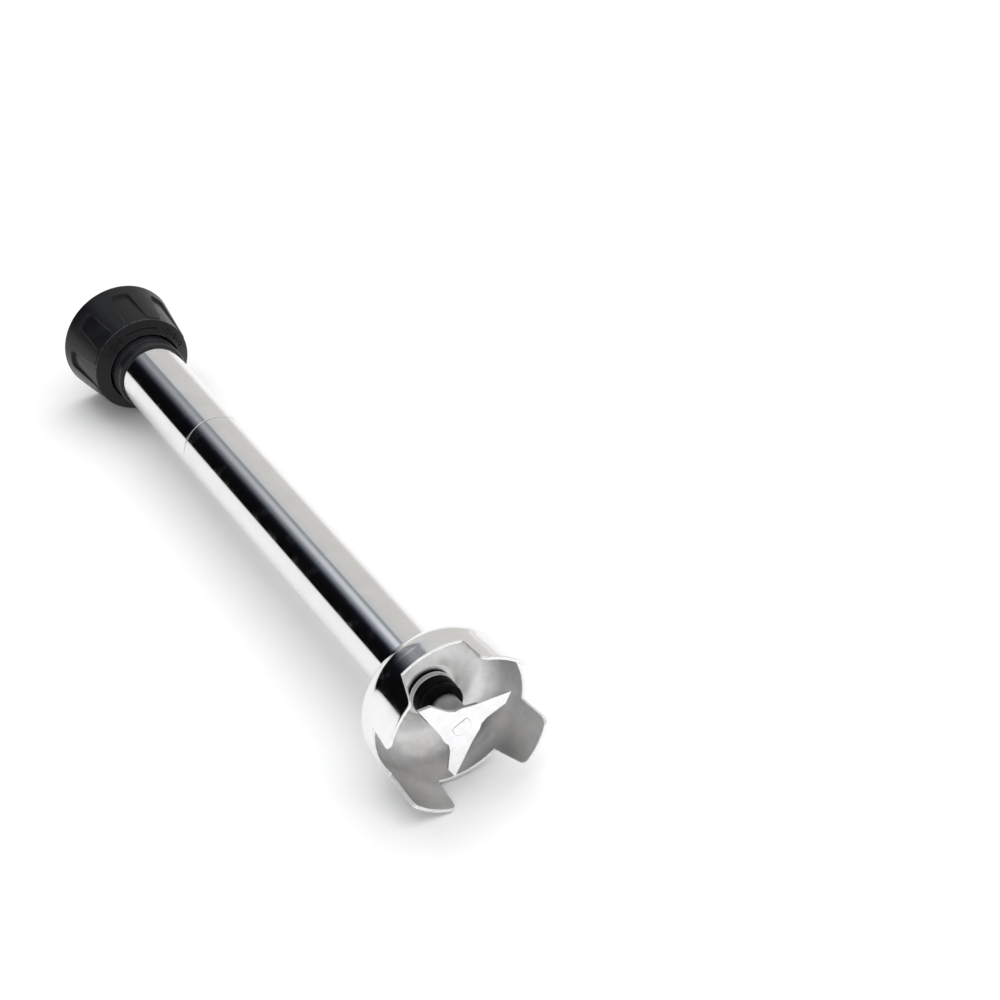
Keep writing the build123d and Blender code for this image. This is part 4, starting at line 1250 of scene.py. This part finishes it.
@dataclass
class Blade:
    """Flat three-armed blade with a ground back edge on each arm, on the shaft's flattened end."""

    front_x: float = span("blade")[1]
    back_x: float = span("blade")[0]
    tip_deg: float = 21.4
    arms: int = 3
    root: Point = (10.1, 7.5)
    grind_end: Point = (11.3, 7.0)
    tip: Point = (29.9, 0.0)
    tip_cut: Point = (24.7, -4.5)
    side: Point = (13.3, -4.9)
    hollow: Point = (9.4, -6.2)
    valley: Point = (7.3, -8.7)
    hole_r: float = 5.02
    flat: float = 3.02
    flat_deg: float = 116.6
    grind: float = 2.4
    grind_left: float = 0.45
    edge_break: float = 0.14
    break_slope: float = 1.6
    hole_chamfer: float = 0.25
    edge_step: float = 0.7
    pieces: list[bpy.types.Object] = field(default_factory=list)

    def outline(self) -> tuple[np.ndarray, np.ndarray]:
        """The blade's edge as points round the axis, with how far the grind reaches in at each.

        Returns:
            Points in the blade's plane, and the grind's width along the leading edges.
        """
        arm = np.array([self.root, self.grind_end, self.tip, self.tip_cut, self.side, self.hollow,
                        self.valley])
        turned_root = self.turn(np.array([self.root]), -360.0 / self.arms)
        arm = np.concatenate([arm, turned_root])
        stretch, ground = [], []
        for index in range(len(arm) - 1):
            here, there = arm[index], arm[index + 1]
            parts = max(2, math.ceil(float(np.linalg.norm(there - here)) / self.edge_step))
            share = np.linspace(0, 1, parts, endpoint=False)
            stretch.append(here + (there - here) * share[:, None])
            on_edge = index == 1
            ground.append(np.where(share < 0.04, 0.15, 1.0) if on_edge else np.zeros(parts))
        arm_points, arm_ground = np.concatenate(stretch), np.concatenate(ground)
        turns = [self.turn(arm_points, self.tip_deg - k * 360.0 / self.arms) for k in range(self.arms)]
        return np.concatenate(turns), np.tile(arm_ground, self.arms)

    @staticmethod
    def turn(points: np.ndarray, degrees: float) -> np.ndarray:
        """Turn points in the blade's plane about the axis."""
        cosine, sine = math.cos(math.radians(degrees)), math.sin(math.radians(degrees))
        return points @ np.array([[cosine, sine], [-sine, cosine]])

    def hole(self, angle: np.ndarray) -> np.ndarray:
        """Points of the D-shaped hole: the circle, cut by the flat's line.

        Args:
            angle: angles round the axis, in radians.

        Returns:
            A point at each angle.
        """
        away = np.cos(angle - math.radians(self.flat_deg))
        reach = np.where(away > 0, np.minimum(self.hole_r, self.flat / np.maximum(away, 1e-6)), self.hole_r)
        return np.stack([reach * np.cos(angle), reach * np.sin(angle)], axis=1)

    def build(self) -> None:
        """Make the blade as nested outlines: hole, front, edge breaks, ground back, and back to the hole."""
        rim, ground = self.outline()
        angle = np.arctan2(rim[:, 1], rim[:, 0])
        hole = self.hole(angle)
        towards = -rim / np.linalg.norm(rim, axis=1)[:, None]
        inner = rim + towards * self.edge_break * self.break_slope
        width = self.edge_break * self.break_slope + ground * self.grind
        back_inner = rim + towards * width[:, None]
        front, back = self.front_x, self.back_x
        depth = self.edge_break + ground * (front - back - self.grind_left)
        hole_out = hole * (1 + self.hole_chamfer / np.linalg.norm(hole, axis=1)[:, None])
        loops = [(hole, front - self.hole_chamfer), (hole_out, front), (0.5 * hole_out + 0.5 * inner, front),
                 (inner, front), (rim, front - self.edge_break), (rim, back + depth),
                 (back_inner, back), (0.5 * hole + 0.5 * back_inner, back), (hole, back)]
        points = np.concatenate([np.column_stack([np.broadcast_to(x, len(rim)), loop]) for loop, x in loops])
        faces = grid_faces(len(loops), len(rim), True, True)
        blade = make_piece("ground_blade", points, faces, Body.ROTOR, smooth=False,
                           replaces=["blade"])
        BLADE_STEEL.dress(blade)
        self.pieces = [blade]


# ------------------------------------------------------------------ carried-over parts


@dataclass
class InnerParts:
    """The CAD nodes that show as they are: bearings, seals, clips, screws and the drive's own parts."""

    special: dict[str, Finish] = field(default_factory=lambda: {"bayonet_ring": RING_STEEL,
                                                                "friction_washer": BLACK_NYLON})
    dressed: int = 0

    def build(self) -> None:
        """Dress each node in its record slot's finish."""
        for name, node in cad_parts.items():
            if node.hide_render:
                continue
            own = node.data.materials[0].name.split(".")[0] if node.data.materials else ""
            finish = self.special.get(name) or SLOT_FINISH.get(own, BEARING_STEEL)
            finish.dress(node)
            self.dressed += 1


# ------------------------------------------------------------------ studio


@dataclass(frozen=True)
class Lamp:
    """A square soft lamp: its place in metres, its side in metres and its power in watts."""

    name: str
    place: tuple[float, float, float]
    size: float
    watts: float


@dataclass
class Studio:
    """Pale floor, soft light all round with a dark side for the steel to mirror, and the camera.

    The colours of the light are given at angles about the X axis, in degrees.
    """

    mouth_rest: Point = (-1.0, -33.95)
    leg_rest: Point = (425.0, -44.4)
    half_floor: float = 6.0
    floor_points: int = 41
    camera_place: tuple[float, float, float] = (1.3629, -0.5005, 0.8742)
    camera_right: tuple[float, float, float] = (0.49278, 0.87006, -0.01290)
    camera_up: tuple[float, float, float] = (-0.49046, 0.28997, 0.82180)
    lens: float = 101.95
    sensor: float = 36.0
    aim: tuple[float, float, float] = (0.2, 0.0, 0.0)
    lamp_set: tuple[Lamp, ...] = (Lamp("top lamp", (0.2, 0.35, 2.4), 3.0, 41.5),
                                  Lamp("side lamp", (1.6, -1.6, 1.6), 1.4, 12.0))
    front: Colour = (0.92, 0.92, 0.92)
    backdrop: Colour = (1.0, 1.0, 1.0)
    circle: Point = (-90.0, 270.0)
    around: tuple[tuple[float, Colour], ...] = (
        (-30.0, (0.924, 0.924, 0.924)), (-8.0, (0.945, 0.945, 0.956)), (2.0, (0.977, 0.977, 0.987)),
        (9.0, (0.766, 0.745, 0.724)), (14.0, (0.735, 0.714, 0.698)), (60.0, (0.724, 0.709, 0.693)),
        (78.0, (0.672, 0.672, 0.688)), (84.0, (0.609, 0.63, 0.651)), (87.5, (0.231, 0.252, 0.273)),
        (92.0, (0.252, 0.273, 0.294)), (97.0, (0.105, 0.116, 0.126)), (110.0, (0.063, 0.0683, 0.0788)),
        (124.0, (0.021, 0.0231, 0.0315)), (134.0, (0.0042, 0.00525, 0.0084)),
        (150.0, (0.00315, 0.00315, 0.0042)), (181.0, (0.00315, 0.0021, 0.00158)),
        (182.2, (0.777, 0.756, 0.714)), (192.0, (0.924, 0.935, 0.966)), (210.0, (0.945, 0.945, 0.966)))
    overhead: tuple[tuple[float, Colour], ...] = (
        (80.0, (0.0, 0.0, 0.0)), (92.0, (0.12, 0.12, 0.12)), (99.0, (0.66, 0.68, 0.71)),
        (107.0, (0.62, 0.65, 0.70)), (116.0, (0.24, 0.26, 0.29)), (127.0, (0.02, 0.02, 0.03)),
        (134.0, (0.0, 0.0, 0.0)))

    def floor(self) -> bpy.types.Object:
        """The floor: a square sheet through the collar's lip and the lowest leg's corner.

        Returns:
            The floor, as a stage object.
        """
        (mouth_x, mouth_z), (leg_x, leg_z) = self.mouth_rest, self.leg_rest
        slope = (leg_z - mouth_z) / (leg_x - mouth_x)
        side = np.linspace(-1, 1, self.floor_points) * self.half_floor
        along, across = np.meshgrid(side, side, indexing="ij")
        height = (mouth_z * MM) + slope * (along - mouth_x * MM)
        points = np.stack([along, across, height], axis=2).reshape(-1, 3)
        faces = grid_faces(self.floor_points, self.floor_points, False, False)[:, ::-1]
        mesh = bpy.data.meshes.new("floor")
        mesh.from_pydata(points.tolist(), [], faces.tolist())
        floor = bpy.data.objects.new("floor", mesh)
        bpy.context.scene.collection.objects.link(floor)
        FLOOR_PAPER.dress(floor)
        return floor

    def band_colours(self, tree: bpy.types.NodeTree, share: Socket,
                     colours: Sequence[tuple[float, Colour]]) -> Socket:
        """Colours at their angles about the axis, read at a share of the way round the circle.

        Args:
            tree: the world's nodes.
            share: the share of the way round, from 0 to 1.
            colours: each angle with its colour.

        Returns:
            The colour at the share.
        """
        low, high = self.circle
        node = add(tree, "ValToRGB", {"Fac": share})
        elements = node.color_ramp.elements
        elements[0].position, elements[1].position = 0.0, 1.0
        elements[0].color, elements[1].color = (*colours[0][1], 1), (*colours[-1][1], 1)
        for degrees, colour in colours:
            elements.new((degrees - low) / (high - low)).color = (*colour, 1)
        return node.outputs[0]

    def surroundings(self) -> None:
        """Light from all round.

        Where it comes towards the blade end from behind, its colour goes by the angle about the X axis:
        floor-bright below, a pale wall behind, a soft light overhead that fades with distance, and darkness
        on the -Y side. Towards the front it turns into an even pale light with a bright patch overhead. The
        camera itself sees only a plain white backdrop beyond the floor.
        """
        world = bpy.data.worlds.new("studio")
        world.use_nodes = True
        bpy.context.scene.world = world
        tree = world.node_tree
        place = add(tree, "TexCoord").outputs["Generated"]
        ahead, aside, up = add(tree, "SeparateXYZ", {0: place}).outputs
        low, high = (math.radians(degrees) for degrees in self.circle)
        angle = calc(tree, "ARCTAN2", up, aside)
        below = calc(tree, "LESS_THAN", angle, low)
        wrapped = calc(tree, "MULTIPLY_ADD", below, 2 * math.pi, angle)
        share = add(tree, "MapRange", {"Value": wrapped, "From Min": low, "From Max": high}).outputs[0]
        ring = self.band_colours(tree, share, self.around)
        strip = self.band_colours(tree, share, self.overhead)
        nearness = add(tree, "MapRange", {"Value": ahead, "From Min": -0.80, "From Max": -0.70,
                                          "To Min": 0.34, "To Max": 1.15}).outputs[0]
        behind = mixed(tree, 1.0, ring, mixed(tree, 1.0, strip, nearness, "MULTIPLY"), "ADD")
        soft = mixed(tree, 0.4, self.front, behind)
        patch = calc(tree, "MULTIPLY", ramp(tree, up, 0.72, 0.82), ramp(tree, ahead, -0.15, -0.40))
        lit = mixed(tree, 1.0, soft, patch, "ADD")
        colour = mixed(tree, ramp(tree, ahead, -0.64, -0.40), behind, lit)
        seen = add(tree, "LightPath").outputs["Is Camera Ray"]
        shown = mixed(tree, seen, colour, self.backdrop)
        tree.links.new(shown, tree.nodes["Background"].inputs["Color"])

    def lamps(self) -> None:
        """Large soft lamps overhead, which brighten the floor and the plastics but not the mirrors."""
        for spec in self.lamp_set:
            data = bpy.data.lights.new(spec.name, "AREA")
            data.shape = "SQUARE"
            data.size = spec.size
            data.energy = spec.watts
            lamp = bpy.data.objects.new(spec.name, data)
            lamp.location = spec.place
            lamp.rotation_euler = (Vector(self.aim) - Vector(spec.place)).to_track_quat("-Z", "Y").to_euler()
            lamp.visible_glossy = False
            bpy.context.scene.collection.objects.link(lamp)

    def camera(self) -> None:
        """The camera, at its place and turned so that its axes are the stated ones."""
        data = bpy.data.cameras.new("camera")
        data.lens = self.lens
        data.sensor_width = self.sensor
        data.clip_start, data.clip_end = 0.05, 50.0
        camera = bpy.data.objects.new("camera", data)
        right, up = Vector(self.camera_right).normalized(), Vector(self.camera_up).normalized()
        back = right.cross(up).normalized()
        turn = Matrix((right, back.cross(right), back)).transposed()
        camera.matrix_world = Matrix.Translation(self.camera_place) @ turn.to_4x4()
        bpy.context.scene.collection.objects.link(camera)
        bpy.context.scene.camera = camera

    def build(self) -> None:
        """Set up the floor, the light and the camera."""
        self.floor()
        self.surroundings()
        self.lamps()
        self.camera()
        bpy.context.scene.view_settings.view_transform = "Standard"


def main() -> None:
    """Build the object and its studio in order, and report each piece."""
    logging.basicConfig(level=logging.INFO, format="%(name)s: %(message)s")
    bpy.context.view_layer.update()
    for make_group in (scratch_group, grain_group, edge_wear_and_highlight_group):
        make_group()
    for assembly in (LockingCollar(), Neck(), Tubes(), Bell(), BladeEnd(), Blade()):
        assembly.build()
        for piece in assembly.pieces:
            LOG.info("%s: %s, %d faces", type(assembly).__name__, piece.name, len(piece.data.polygons))
    inner = InnerParts()
    inner.build()
    LOG.info("carried over: %d CAD nodes", inner.dressed)
    Studio().build()


if __name__ == "__main__":
    main()
